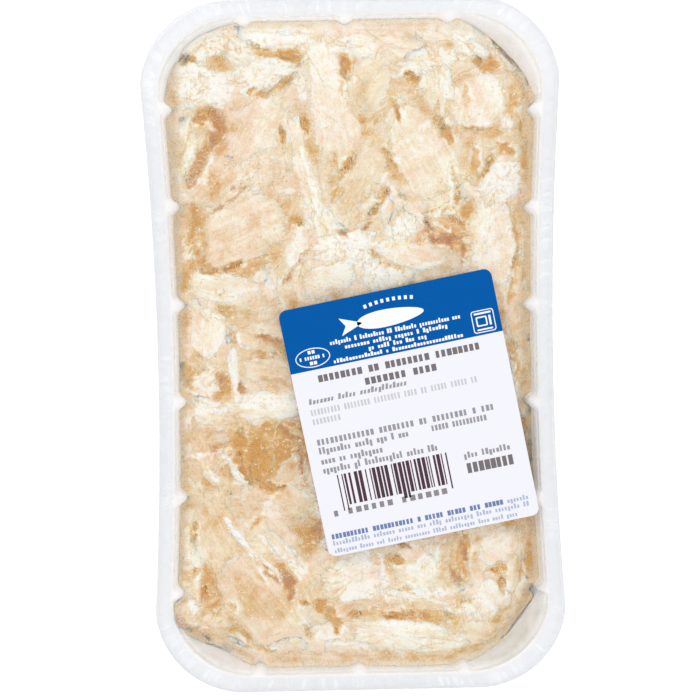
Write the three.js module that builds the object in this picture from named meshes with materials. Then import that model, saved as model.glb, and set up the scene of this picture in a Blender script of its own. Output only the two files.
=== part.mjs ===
// Tray pack of shredded salted dried cod: a ribbed plastic tray, the heap of
// cod inside it, the clear film sealed over its rim and the label on the film.
// Millimetres, +Z up. The origin is the centre of the tray's underside, and
// the tray's long side runs along Y.
import * as THREE from 'three';

// ---------------------------------------------------------------- sizes
const LENGTH = 225; // tray, over the flange
const WIDTH = 134.6; // tray, over the flange, near its corners
const HEIGHT = 36; // tray, floor to the top of the flange
const CORNER_R = 29; // outer corner radius of the flange
const CORNER_K = 0.55; // how fast the corner radius falls with the inset
const BOW = 3.3; // how far the long sides are pulled in halfway along
const BOW_END = 88; // where along Y that pull has died away
const WALL = 1.0; // thickness of the plastic
const FLANGE = 5.5; // width of the flat flange
const LIP_DROP = 2.6; // how far the flange's outer edge turns down
const DRAFT = 5.0; // how far the walls lean in from top to floor
const RIB_DEPTH = 2.6; // ribs pressed into the walls
const RIB_HALF = 1.95; // their half width
const RIB_SHARE = [1, 0.6, 1, 0.6]; // of that depth: right wall, far end, left wall, near end
const RIB_STEP = [31.6, 33.2, 31.8, 34]; // from rib to rib: right wall, far end, left wall, near end
const RIB_MIDDLE = [-2.6, -1.1, -0.5, -0.3]; // middle of each wall's row of ribs
const RIB_COUNT = [6, 3, 6, 3];
// How much further in than its sides a wall lies in the corners, by height:
// the corners come down in a slope, which the sides don't.
const CORNER_Z = [1, 8, 16, 23, 28, 31, 33.3, 34.6];
const CORNER_IN = [5.2, 5.1, 4.8, 4.2, 3.4, 2.3, 0.6, 0];

const GAP = 0.3; // free space between pieces that touch
const FILM_T = 0.3; // film, with the play of a stretched skin
const FILM_INSET = 0.5; // film edge inside the flange's edge
const LABEL_W = 70;
const LABEL_H = 82;
const LABEL_T = 0.25;
const LABEL_R = 2.6; // label's corner radius
const LABEL_X = 17.1;
const LABEL_Y = -21.2;
const LABEL_TURN = THREE.MathUtils.degToRad(10.6);

const HEAP_BASE = 26.5; // lowest part of the heap's top, away from the walls
const HEAP_TOP = 35.2; // no flake stands higher, the film lies just above
const FLAKES = 120; // mounds that make up the heap's top
const FLAKE_LENGTH = [16, 42]; // of a mound, along its grain
const FLAKE_WIDTH = [9, 20];

// ---------------------------------------------------------------- outline
// One closed outline, counter-clockwise from above, as a list of stations.
// side: 0 right wall, 1 far end, 2 left wall, 3 near end; t runs along a
// straight side, turn runs round the corner that follows the side.
const RIB_STATIONS = [-1.45, -0.6, 0, 0.6, 1.45]; // in half widths
const RIBS = RIB_COUNT.map((n, side) => Array.from({ length: n }, (_, i) => RIB_MIDDLE[side] + (i - (n - 1) / 2) * RIB_STEP[side]));

function sideStations(half, ribs) {
  const list = [];
  for (const r of ribs) for (const k of RIB_STATIONS) list.push((r + k * RIB_HALF) / half);
  for (let i = 0; i + 1 < ribs.length; i++) list.push((ribs[i] + ribs[i + 1]) / 2 / half);
  return list.filter((t) => Math.abs(t) < 0.985).sort((a, b) => a - b);
}

const spanLong = LENGTH / 2 - CORNER_R;
const spanShort = WIDTH / 2 - CORNER_R;
const straight = (half) => half - (1 - CORNER_K) * FLANGE; // half span at the flange's inner edge

function makeStations(ribbed, cornerSteps, plainSteps) {
  const out = [];
  for (let side = 0; side < 4; side++) {
    const long = side % 2 === 0;
    const half = straight(long ? spanLong : spanShort);
    const n = plainSteps[long ? 0 : 1];
    const ts = ribbed ? sideStations(half, RIBS[side]) : Array.from({ length: n - 1 }, (_, i) => -1 + (2 * (i + 1)) / n);
    const run = [-1, ...ts, 1];
    if (side === 1 || side === 2) run.reverse(); // these two sides run backwards
    for (const t of run) out.push({ side, t, turn: 0 });
    for (let i = 1; i < cornerSteps; i++) out.push({ side, turn: (i / cornerSteps) * (Math.PI / 2) });
  }
  return out;
}

function cornerIn(z) {
  const i = CORNER_Z.findIndex((top) => z <= top);
  if (i < 0) return 0;
  if (i === 0) return CORNER_IN[0];
  return THREE.MathUtils.mapLinear(z, CORNER_Z[i - 1], CORNER_Z[i], CORNER_IN[i - 1], CORNER_IN[i]);
}

// The point of a station at inset d from the flange's outer edge, pushed in
// further by rib where a rib stands, and by corner in the middle of a corner.
function pointAt(s, d, rib = 0, corner = 0) {
  const a = WIDTH / 2 - d;
  const b = LENGTH / 2 - d;
  const r = Math.max(CORNER_R - CORNER_K * d, 6);
  const ly = b - r;
  const lx = a - r;
  let x, y;
  if (s.turn) {
    const start = [0, Math.PI / 2, Math.PI, 1.5 * Math.PI][s.side];
    const cx = [lx, -lx, -lx, lx][s.side];
    const cy = [ly, ly, -ly, -ly][s.side];
    const reach = r - corner * Math.sin(2 * s.turn) ** 0.8;
    x = cx + reach * Math.cos(start + s.turn);
    y = cy + reach * Math.sin(start + s.turn);
  } else {
    const long = s.side % 2 === 0;
    const half = straight(long ? spanLong : spanShort);
    let push = 0;
    for (const k of RIBS[s.side]) {
      const q = (s.t * half - k) / RIB_HALF;
      push = Math.max(push, Math.exp(-q * q * 1.35));
    }
    push = push < 0.07 ? 0 : push * rib * RIB_SHARE[s.side];
    if (long) {
      x = (s.side === 0 ? 1 : -1) * (a - push);
      y = s.t * ly;
    } else {
      x = s.t * lx;
      y = (s.side === 1 ? 1 : -1) * (b - push);
    }
  }
  const pull = Math.max(0, 1 - (y / BOW_END) ** 2);
  x -= ((x * BOW) / (WIDTH / 2)) * pull;
  return [x, y];
}

// A closed solid of revolution whose circles are replaced by outlines.
// rings: {d, z, rib, corner} for a ring, {axis: true, z} for its point on the axis,
// listed from the underside round the outside and back to the axis on top.
function ringSolid(stations, rings) {
  const n = stations.length;
  const profile = rings.map((r) => new THREE.Vector2(r.axis ? 0 : 10, r.z));
  const g = new THREE.LatheGeometry(profile, n);
  const p = g.attributes.position;
  for (let i = 0; i <= n; i++) {
    const s = stations[i % n];
    rings.forEach((r, j) => {
      const q = r.axis ? [0, 0, r.z] : [...pointAt(s, r.d, r.rib || 0, r.corner || 0), r.z];
      p.setXYZ(i * rings.length + j, q[0], q[1], q[2]);
    });
  }
  g.computeVertexNormals();
  return g;
}

// ---------------------------------------------------------------- tray
const inner = (z) => FLANGE + DRAFT * (1 - (z - WALL) / (HEIGHT - WALL));
const ribAt = (z) => RIB_DEPTH * THREE.MathUtils.smoothstep(z, 2.5, 9);

const trayRings = [
  { axis: true, z: 0 },
  { d: inner(0) - WALL + 4.0, z: 0 },
  { d: inner(1) - WALL + 1.5, z: 1.0 },
  { d: inner(4) - WALL, z: 4.2 },
  { d: inner(10) - WALL, z: 10, rib: ribAt(10) },
  { d: inner(22) - WALL, z: 22, rib: ribAt(22) },
  { d: inner(31) - WALL, z: 31, rib: ribAt(31) },
  { d: FLANGE - WALL + 0.1, z: HEIGHT - WALL, rib: RIB_DEPTH * 0.8 },
  { d: 1.0, z: HEIGHT - WALL },
  { d: 0.8, z: HEIGHT - LIP_DROP },
  { d: 0.0, z: HEIGHT - LIP_DROP },
  { d: 0.1, z: HEIGHT - 0.6 },
  { d: 0.7, z: HEIGHT },
  { d: FLANGE - 0.5, z: HEIGHT, rib: RIB_DEPTH * 0.25 },
  { d: FLANGE + 0.05, z: HEIGHT - 0.8, rib: RIB_DEPTH * 0.7 },
  { d: inner(31), z: 31, rib: ribAt(31) },
  { d: inner(22), z: 22, rib: ribAt(22) },
  { d: inner(10), z: 10, rib: ribAt(10) },
  { d: inner(4), z: 4.8 },
  { d: inner(2) + 1.6, z: 1.8 },
  { d: inner(1) + 4.2, z: WALL },
  { axis: true, z: WALL },
];
for (const ring of trayRings) if (ring.d > 4 && ring.z < 34.5) ring.corner = cornerIn(ring.z);
const trayStations = makeStations(true, 6, [0, 0]);
const tray = new THREE.Mesh(
  ringSolid(trayStations, trayRings),
  new THREE.MeshStandardMaterial({ color: 0xf1f1f4, roughness: 0.35, metalness: 0 }),
);
tray.name = 'tray';

// ---------------------------------------------------------------- cod heap
const hash = (i, k) => {
  const v = Math.sin(i * 127.1 + k * 311.7) * 43758.5453;
  return v - Math.floor(v);
};
const mix = THREE.MathUtils.lerp;

const mounds = [];
for (let i = 0; i < FLAKES; i++) {
  // spread by the golden ratio over the floor, so that no place stays bare
  mounds.push({
    x: mix(-56, 56, (i * 0.618034) % 1),
    y: mix(-104, 104, (i + 0.5) / FLAKES),
    turn: Math.PI * hash(i, 1),
    long: mix(...FLAKE_LENGTH, hash(i, 2)) / 2,
    wide: mix(...FLAKE_WIDTH, hash(i, 3)) / 2,
    top: mix(HEAP_BASE + 1.5, HEAP_TOP, hash(i, 4) ** 0.6),
    tilt: mix(-0.07, 0.07, hash(i, 5)),
  });
}

function heapTop(x, y) {
  let z = HEAP_BASE;
  for (const m of mounds) {
    const c = Math.cos(m.turn);
    const s = Math.sin(m.turn);
    const u = ((x - m.x) * c + (y - m.y) * s) / m.long;
    const v = ((y - m.y) * c - (x - m.x) * s) / m.wide;
    const q = 1 - u * u - v * v;
    if (q > 0) {
      const top = m.top + m.tilt * u * m.long;
      z = Math.max(z, mix(HEAP_BASE, top, Math.min(1, q * 1.8) ** 0.5));
    }
  }
  return Math.min(z, HEAP_TOP);
}

const HEAP_EDGE = RIB_DEPTH + 0.5; // clears the ribs
const HEAP_NX = 28; // net of the heap's top, across and along the tray
const HEAP_NY = 48;

// The unit square bent to the outline at inset d and height z: (1, 1) is a
// corner of the outline, and smaller squares in it become smaller outlines.
function squareToOutline(u, v, d, z) {
  const share = Math.max(Math.abs(u), Math.abs(v));
  if (share === 0) return [0, 0];
  const a = WIDTH / 2 - d;
  const b = LENGTH / 2 - d;
  const r = Math.max(CORNER_R - CORNER_K * d, 6);
  let x = (Math.abs(u) / share) * a;
  let y = (Math.abs(v) / share) * b;
  const dx = x - (a - r);
  const dy = y - (b - r);
  if (dx > 0 && dy > 0) {
    const k = (r - cornerIn(z) * ((2 * dx * dy) / (dx * dx + dy * dy)) ** 0.8) / Math.hypot(dx, dy);
    x = a - r + dx * k;
    y = b - r + dy * k;
  }
  x *= share * Math.sign(u);
  y *= share * Math.sign(v);
  return [x - ((x * BOW) / (WIDTH / 2)) * Math.max(0, 1 - (y / BOW_END) ** 2), y];
}

function heapGeometry() {
  const points = [];
  const index = [];
  const row = HEAP_NX + 1;
  for (let j = 0; j <= HEAP_NY; j++) {
    for (let i = 0; i <= HEAP_NX; i++) {
      const u = (2 * i) / HEAP_NX - 1;
      const v = (2 * j) / HEAP_NY - 1;
      const share = Math.max(Math.abs(u), Math.abs(v));
      let [x, y] = squareToOutline(u, v, inner(19) + HEAP_EDGE, 19);
      // the edge of the heap wavers, more than its middle does
      const waver = 1 - 0.03 * share ** 6 * (0.5 + 0.5 * Math.sin(x * 0.21 + y * 0.13) * Math.cos(y * 0.19));
      x *= waver;
      y *= waver;
      const slump = 7.5 * share ** 18; // the heap falls away towards the walls
      points.push(new THREE.Vector3(x, y, heapTop(x, y) - slump));
      if (i < HEAP_NX && j < HEAP_NY) {
        const p = j * row + i;
        index.push(p, p + 1, p + row + 1, p, p + row + 1, p + row);
      }
    }
  }
  // the edge of that net, counter-clockwise from above
  const edge = [];
  for (let i = 0; i < HEAP_NX; i++) edge.push([i, 0]);
  for (let j = 0; j < HEAP_NY; j++) edge.push([HEAP_NX, j]);
  for (let i = HEAP_NX; i > 0; i--) edge.push([i, HEAP_NY]);
  for (let j = HEAP_NY; j > 0; j--) edge.push([0, j]);
  let above = edge.map(([i, j]) => j * row + i);
  // the sides go down to the floor in rings, each a little further in
  for (const [d, z] of [
    [inner(14) + HEAP_EDGE, 14],
    [inner(3) + HEAP_EDGE, 3.6],
    [inner(1) + HEAP_EDGE + 2.2, WALL + 0.4],
  ]) {
    const below = edge.map(([i, j]) => {
      points.push(new THREE.Vector3(...squareToOutline((2 * i) / HEAP_NX - 1, (2 * j) / HEAP_NY - 1, d, z), z));
      return points.length - 1;
    });
    above.forEach((p, k) => {
      const m = (k + 1) % edge.length;
      index.push(p, below[k], below[m], p, below[m], above[m]);
    });
    above = below;
  }
  const floor = above.map((k) => new THREE.Vector2(points[k].x, points[k].y));
  for (const [p, q, r] of THREE.ShapeUtils.triangulateShape(floor, [])) index.push(above[p], above[r], above[q]);
  const g = new THREE.BufferGeometry().setFromPoints(points);
  g.setIndex(index);
  g.computeVertexNormals();
  return g;
}

const cod = new THREE.Mesh(
  heapGeometry(),
  new THREE.MeshStandardMaterial({ color: 0xeadbbf, roughness: 0.75, metalness: 0 }),
);
cod.name = 'cod_heap';

// ---------------------------------------------------------------- film
const filmZ = HEIGHT + GAP;
const filmRings = [
  { axis: true, z: filmZ },
  { d: FILM_INSET, z: filmZ },
  { d: FILM_INSET, z: filmZ + FILM_T },
  { axis: true, z: filmZ + FILM_T },
];
const film = new THREE.Mesh(
  ringSolid(makeStations(false, 8, [24, 10]), filmRings),
  new THREE.MeshStandardMaterial({
    color: 0xffffff,
    roughness: 0.08,
    metalness: 0,
    transparent: true,
    opacity: 0.12,
  }),
);
film.name = 'lid_film';

// ---------------------------------------------------------------- label
function roundedRect(w, h, r) {
  const s = new THREE.Shape();
  s.moveTo(-w / 2 + r, -h / 2);
  s.lineTo(w / 2 - r, -h / 2);
  s.absarc(w / 2 - r, -h / 2 + r, r, -Math.PI / 2, 0, false);
  s.lineTo(w / 2, h / 2 - r);
  s.absarc(w / 2 - r, h / 2 - r, r, 0, Math.PI / 2, false);
  s.lineTo(-w / 2 + r, h / 2);
  s.absarc(-w / 2 + r, h / 2 - r, r, Math.PI / 2, Math.PI, false);
  s.lineTo(-w / 2, -h / 2 + r);
  s.absarc(-w / 2 + r, -h / 2 + r, r, Math.PI, 1.5 * Math.PI, false);
  return s;
}

const label = new THREE.Mesh(
  new THREE.ExtrudeGeometry(roundedRect(LABEL_W, LABEL_H, LABEL_R), {
    depth: LABEL_T,
    bevelEnabled: false,
    curveSegments: 6,
  }),
  new THREE.MeshStandardMaterial({ color: 0xf4f4fd, roughness: 0.5, metalness: 0 }),
);
label.name = 'label';
label.position.set(LABEL_X, LABEL_Y, filmZ + FILM_T + GAP);
label.rotation.z = LABEL_TURN;

// ---------------------------------------------------------------- pack
const pack = new THREE.Group();
pack.add(tray, cod, film, label);

export default pack;
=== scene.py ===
"""Looks of a tray pack of shredded salted dried cod.

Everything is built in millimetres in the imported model's frame and scaled to
metres when a mesh is made. +Z is up, +Y is the tray's long side.
"""

import math

import bpy
import numpy as np
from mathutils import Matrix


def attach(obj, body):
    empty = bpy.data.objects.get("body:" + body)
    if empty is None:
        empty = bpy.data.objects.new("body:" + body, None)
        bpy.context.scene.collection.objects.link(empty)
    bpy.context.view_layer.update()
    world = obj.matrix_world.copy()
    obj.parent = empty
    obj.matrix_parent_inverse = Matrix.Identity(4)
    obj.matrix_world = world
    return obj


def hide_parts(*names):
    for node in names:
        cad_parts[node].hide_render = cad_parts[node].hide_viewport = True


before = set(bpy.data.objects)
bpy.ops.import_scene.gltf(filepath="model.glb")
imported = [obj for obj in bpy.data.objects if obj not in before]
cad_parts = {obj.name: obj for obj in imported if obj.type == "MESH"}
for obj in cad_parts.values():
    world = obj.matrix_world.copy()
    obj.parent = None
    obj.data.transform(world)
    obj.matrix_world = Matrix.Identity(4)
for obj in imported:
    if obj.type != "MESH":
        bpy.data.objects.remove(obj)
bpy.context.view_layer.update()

# ------------------------------------------------------------------ sizes, mm
LENGTH, WIDTH, HEIGHT = 225.0, 134.6, 36.0
CORNER_R, CORNER_K = 29.0, 0.55
BOW, BOW_END = 3.3, 88.0
FLANGE, DRAFT, WALL = 5.5, 5.0, 1.0
RIB_DEPTH, RIB_HALF = 2.6, 1.95
RIB_SHARE = (1.0, 0.6, 1.0, 0.6)  # of that depth, along each wall
# ribs along the right wall, far end, left wall and near end
RIBS = ((-81.6, -50.0, -18.4, 13.2, 44.8, 76.4), (-34.2, -1.3, 32.3), (-80.0, -48.2, -16.4, 15.2, 47.4, 78.8), (-34.0, -1.0, 34.0))
LABEL_W, LABEL_H, LABEL_R = 70.0, 82.0, 2.6
LABEL_AT, LABEL_TURN = (17.1, -21.2), math.radians(10.6)
FILM_Z = 36.22  # top side of the film over the opening
CAP = 35.75  # the film presses the cod down to this level
PRESS, LIFT = 0.4, 0.3  # how flat the whole heap is pressed


# ------------------------------------------------------------------ meshes
def make_mesh(name, verts, tris=None, quads=None, attrs=None, smooth=True, material=None, face_mats=None, crease_deg=0):
    """A mesh object from arrays in millimetres. attrs maps a name to one value or one vector per vertex."""
    verts = np.asarray(verts, dtype=np.float64) * 0.001
    parts = []
    if quads is not None and len(quads):
        parts.append((np.asarray(quads, dtype=np.int32), 4))
    if tris is not None and len(tris):
        parts.append((np.asarray(tris, dtype=np.int32), 3))
    loops = np.concatenate([p.ravel() for p, _ in parts])
    sizes = np.concatenate([np.full(len(p), n, dtype=np.int32) for p, n in parts])
    starts = np.concatenate([[0], np.cumsum(sizes)[:-1]]).astype(np.int32)
    me = bpy.data.meshes.new(name)
    me.vertices.add(len(verts))
    me.vertices.foreach_set("co", verts.astype(np.float32).ravel())
    me.loops.add(len(loops))
    me.loops.foreach_set("vertex_index", loops)
    me.polygons.add(len(sizes))
    me.polygons.foreach_set("loop_start", starts)
    me.polygons.foreach_set("loop_total", sizes)
    me.polygons.foreach_set("use_smooth", np.full(len(sizes), bool(smooth)))
    if face_mats is not None:
        me.polygons.foreach_set("material_index", np.asarray(face_mats, dtype=np.int32))
    me.update(calc_edges=True)
    if crease_deg:
        me.set_sharp_from_angle(angle=math.radians(crease_deg))
    for key, values in (attrs or {}).items():
        values = np.asarray(values, dtype=np.float32)
        if values.ndim == 1:
            me.attributes.new(key, "FLOAT", "POINT").data.foreach_set("value", values)
        else:
            me.attributes.new(key, "FLOAT_VECTOR", "POINT").data.foreach_set("vector", values.ravel())
    me.validate()
    ob = bpy.data.objects.new(name, me)
    bpy.context.scene.collection.objects.link(ob)
    for m in material if isinstance(material, (list, tuple)) else [material]:
        if m is not None:
            me.materials.append(m)
    return ob


def ring_quads(n, rings, start=0):
    """Quads between rings of n points each, listed one ring after another."""
    i = np.arange(n)
    j = (i + 1) % n
    out = []
    for k in range(rings - 1):
        a, b = start + k * n, start + (k + 1) * n
        out.append(np.stack([a + i, a + j, b + j, b + i], 1))
    return np.concatenate(out)


# ------------------------------------------------------------------ noise
def _mix_bits(ix, iy, seed):
    h = (ix.astype(np.int64) * 374761393 + iy.astype(np.int64) * 668265263 + int(seed) * 974634777) & 0xFFFFFFFF
    h = ((h ^ (h >> 13)) * 1274126177) & 0xFFFFFFFF
    return (h ^ (h >> 16)) & 0xFFFFFFFF


def noise(x, y, seed=0):
    """Gradient noise, about -1 to 1."""
    x, y = np.broadcast_arrays(np.asarray(x, float), np.asarray(y, float))
    ix, iy = np.floor(x), np.floor(y)
    fx, fy = x - ix, y - iy
    ux, uy = fx * fx * fx * (fx * (fx * 6 - 15) + 10), fy * fy * fy * (fy * (fy * 6 - 15) + 10)

    def corner(dx, dy):
        a = _mix_bits(ix + dx, iy + dy, seed) * (2 * np.pi / 4294967296.0)
        return np.cos(a) * (fx - dx) + np.sin(a) * (fy - dy)

    top = corner(0, 0) * (1 - ux) + corner(1, 0) * ux
    low = corner(0, 1) * (1 - ux) + corner(1, 1) * ux
    return (top * (1 - uy) + low * uy) * 1.5


def fbm(x, y, seed=0, octaves=4, gain=0.5):
    total, amp, size = 0.0, 1.0, 0.0
    for k in range(octaves):
        total = total + amp * noise(x * 2.0**k + 7.3 * k, y * 2.0**k - 3.1 * k, seed + 101 * k)
        size += amp
        amp *= gain
    return total / size


def smooth(lo, hi, x):
    t = np.clip((np.asarray(x, float) - lo) / (hi - lo), 0, 1)
    return t * t * (3 - 2 * t)


# ------------------------------------------------------------------ outline
def bowed(x, y):
    return x * (1 - BOW / (WIDTH / 2) * np.clip(1 - (y / BOW_END) ** 2, 0, None))


def stations(n_long, n_short, n_corner):
    """Points round the tray, counter-clockwise from above: side, place along a straight side, turn round a corner."""
    side, t, turn = [], [], []
    for s in range(4):
        n = n_long if s % 2 == 0 else n_short
        run = np.linspace(-1, 1, n + 1)
        if s in (1, 2):
            run = -run
        side.append(np.full(n + 1, s))
        t.append(run)
        turn.append(np.full(n + 1, -1.0))
        c = np.arange(1, n_corner) / n_corner * (np.pi / 2)
        side.append(np.full(len(c), s))
        t.append(np.zeros(len(c)))
        turn.append(c)
    return {"side": np.concatenate(side), "t": np.concatenate(t), "turn": np.concatenate(turn)}


def rib_share(st):
    """1 on the crest of a rib, 0 between the ribs."""
    long = st["side"] % 2 == 0
    half = np.where(long, LENGTH / 2 - CORNER_R, WIDTH / 2 - CORNER_R) - (1 - CORNER_K) * FLANGE
    share = np.zeros(len(half))
    for which, ks in enumerate(RIBS):
        for k in ks:
            q = np.abs(st["t"] * half - k) / RIB_HALF
            share = np.where((st["side"] == which) & (st["turn"] < 0), np.maximum(share, RIB_SHARE[which] * np.exp(-(q**2.7))), share)
    return np.where(share < 0.004, 0, share)


def corner_in(z):
    """How much further in than its sides the wall lies in the corners, which come down in shallow steps."""
    z = np.asarray(z, float)
    slope = np.interp(z, (1.0, 8.0, 16.0, 23.0, 28.0, 31.0, 33.3, 34.6), (5.2, 5.1, 4.8, 4.2, 3.4, 2.3, 0.6, 0.0))
    return slope + 0.4 * np.sin(2 * np.pi * z / 4.6) * smooth(34.0, 31.0, z) * smooth(10.0, 16.0, z)


def outline(st, d, push=0.0, corner=0.0):
    """Points of the outline at inset d, pushed further in by push, and by corner in the corners."""
    a, b = WIDTH / 2 - d, LENGTH / 2 - d
    r = max(CORNER_R - CORNER_K * d, 6.0)
    lx, ly = a - r, b - r
    s, t, turn = st["side"], st["t"], st["turn"]
    cx = np.choose(s, [lx, -lx, -lx, lx])
    cy = np.choose(s, [ly, ly, -ly, -ly])
    ang = s * (np.pi / 2) + turn
    rr = r - corner * np.sin(2 * np.clip(turn, 0, None)) ** 0.8
    x = cx + rr * np.cos(ang)
    y = cy + rr * np.sin(ang)
    p = np.asarray(push) * np.ones(len(t))
    xs = np.choose(s, [a - p, t * lx, -(a - p), t * lx])
    ys = np.choose(s, [t * ly, b - p, t * ly, -(b - p)])
    straight = turn < 0
    x, y = np.where(straight, xs, x), np.where(straight, ys, y)
    return bowed(x, y), y


def inset_of(x, y):
    """How far inside the tray's outer edge a point lies, on the same family of outlines, and the way in."""
    xs = x / (1 - BOW / (WIDTH / 2) * np.clip(1 - (y / BOW_END) ** 2, 0, None))
    d = np.zeros_like(xs)
    for _ in range(4):
        r = np.maximum(CORNER_R - CORNER_K * d, 6.0)
        qx, qy = np.abs(xs) - (WIDTH / 2 - d - r), np.abs(y) - (LENGTH / 2 - d - r)
        out = np.hypot(np.maximum(qx, 0), np.maximum(qy, 0)) + np.minimum(np.maximum(qx, qy), 0) - r
        d = d - out
    corner = (qx > 0) & (qy > 0)
    gx = np.where(corner, qx, qx > qy)
    gy = np.where(corner, qy, qx <= qy)
    n = np.hypot(gx, gy) + 1e-9
    return d, -np.sign(xs) * gx / n, -np.sign(y) * gy / n


def wall_inset(z):
    return FLANGE + DRAFT * (1 - (z - WALL) / (HEIGHT - WALL))


def rib_at_point(x, y):
    """How much a rib takes from the room at a point near the wall."""
    push = np.zeros_like(x)
    near_long = (WIDTH / 2 - np.abs(x)) < (LENGTH / 2 - np.abs(y))
    for which, ks in enumerate(RIBS):
        along = y if which % 2 == 0 else x
        here = near_long & ((x > 0) == (which == 0)) if which % 2 == 0 else ~near_long & ((y > 0) == (which == 1))
        for k in ks:
            push = np.where(here, np.maximum(push, RIB_SHARE[which] * np.exp(-((np.abs(along - k) / RIB_HALF) ** 2.7))), push)
    return push * RIB_DEPTH


def wall_room(x, y, z):
    """How far a point lies from the tray's wall and ribs."""
    d, gx, gy = inset_of(x, y)
    return d - wall_inset(np.clip(z, 2, 34)) - 0.35 - rib_at_point(x, y) - corner_in(z) * np.abs(2 * gx * gy) ** 0.8


def inside_wall(x, y, z, clear=-0.38):
    """Points moved inwards until they clear the tray's wall and ribs."""
    for _ in range(2):
        d, gx, gy = inset_of(x, y)
        need = wall_inset(np.clip(z, 2, 34)) + 0.35 + clear + rib_at_point(x, y) + corner_in(z) * np.abs(2 * gx * gy) ** 0.8
        e = np.clip(need - d, 0, None)
        x, y = x + gx * e, y + gy * e
    return x, y


# ------------------------------------------------------------------ node helpers
class Mat:
    """A node material with short ways to add nodes."""

    def __init__(self, name):
        self.m = bpy.data.materials.new(name)
        self.m.use_nodes = True
        self.nt = self.m.node_tree
        self.nt.nodes.clear()
        self.out = self.nt.nodes.new("ShaderNodeOutputMaterial")

    def add(self, kind, ins=None, **props):
        n = self.nt.nodes.new(kind)
        for k, v in props.items():
            setattr(n, k, v)
        for k, v in (ins or {}).items():
            self.put(n.inputs[k], v)
        return n

    def put(self, socket, v):
        if isinstance(v, bpy.types.NodeSocket):
            self.nt.links.new(v, socket)
        else:
            socket.default_value = v

    def attr(self, name, what="Fac"):
        return self.add("ShaderNodeAttribute", attribute_name=name, attribute_type="GEOMETRY").outputs[what]

    def math(self, op, a, b=0.0, c=0.0, clamp=False):
        n = self.add("ShaderNodeMath", operation=op, use_clamp=clamp)
        for s, v in zip(n.inputs, (a, b, c)):
            self.put(s, v)
        return n.outputs[0]

    def ramp(self, v, lo, hi, to_lo=0.0, to_hi=1.0, smooth_it=True):
        n = self.add("ShaderNodeMapRange", interpolation_type="SMOOTHSTEP" if smooth_it else "LINEAR")
        for k, x in (("Value", v), ("From Min", lo), ("From Max", hi), ("To Min", to_lo), ("To Max", to_hi)):
            self.put(n.inputs[k], x)
        return n.outputs[0]

    def mix(self, f, a, b, blend="MIX"):
        n = self.add("ShaderNodeMix", data_type="RGBA", blend_type=blend, clamp_factor=True)
        self.put(n.inputs[0], f)
        self.put(n.inputs[6], a)
        self.put(n.inputs[7], b)
        return n.outputs[2]

    def scaled(self, vec, s):
        n = self.add("ShaderNodeVectorMath", operation="MULTIPLY")
        self.put(n.inputs[0], vec)
        n.inputs[1].default_value = s
        return n.outputs[0]

    def noise(self, vec, scale=1.0, detail=3.0, rough=0.5, warp=0.0):
        n = self.add("ShaderNodeTexNoise", {"Scale": scale, "Detail": detail, "Roughness": rough, "Distortion": warp})
        self.put(n.inputs["Vector"], vec)
        return n.outputs[0]

    def bump(self, height, strength, distance_mm, normal=None):
        n = self.add("ShaderNodeBump", {"Strength": strength, "Distance": distance_mm * 0.001, "Height": height})
        if normal is not None:
            self.put(n.inputs["Normal"], normal)
        return n.outputs[0]

    def principled(self, **ins):
        n = self.add("ShaderNodeBsdfPrincipled")
        for k, v in ins.items():
            self.put(n.inputs[k.replace("_", " ")], v)
        return n

    def done(self, shader):
        self.nt.links.new(shader, self.out.inputs["Surface"])
        return self.m


def srgb(r, g, b):
    def lin(v):
        v = v / 255.0
        return v / 12.92 if v <= 0.04045 else ((v + 0.055) / 1.055) ** 2.4

    return (lin(r), lin(g), lin(b), 1.0)


# ------------------------------------------------------------------ tray
def tray_material():
    m = Mat("tray_plastic")
    pos = m.scaled(m.add("ShaderNodeTexCoord").outputs["Object"], (1000.0, 1000.0, 1000.0))
    cloud = m.noise(pos, 0.045, 3, 0.5)
    grain = m.noise(pos, 2.2, 2, 0.6)
    wave = m.noise(pos, 0.22, 2, 0.5)
    base = m.mix(m.ramp(cloud, 0.35, 0.68), srgb(243, 244, 247), srgb(246, 246, 246))
    # painted shade: the inner walls mixed towards grey by their 'inner' share
    base = m.mix(m.math("MULTIPLY", m.attr("inner"), m.ramp(wave, 0.3, 0.7, 0.75, 1.0)), base, m.mix(m.ramp(cloud, 0.4, 0.6), srgb(178, 175, 165), srgb(182, 173, 166)))
    rough = m.ramp(wave, 0.3, 0.7, 0.24, 0.36)
    normal = m.bump(grain, 0.12, 0.05, m.bump(wave, 0.25, 0.25))
    p = m.principled(Base_Color=base, Roughness=rough, Normal=normal)
    p.inputs["IOR"].default_value = 1.49
    p.inputs["Subsurface Weight"].default_value = 0.9
    p.inputs["Subsurface Radius"].default_value = (1.0, 0.98, 0.96)
    p.inputs["Subsurface Scale"].default_value = 0.006
    return m.done(p.outputs[0])


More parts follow.
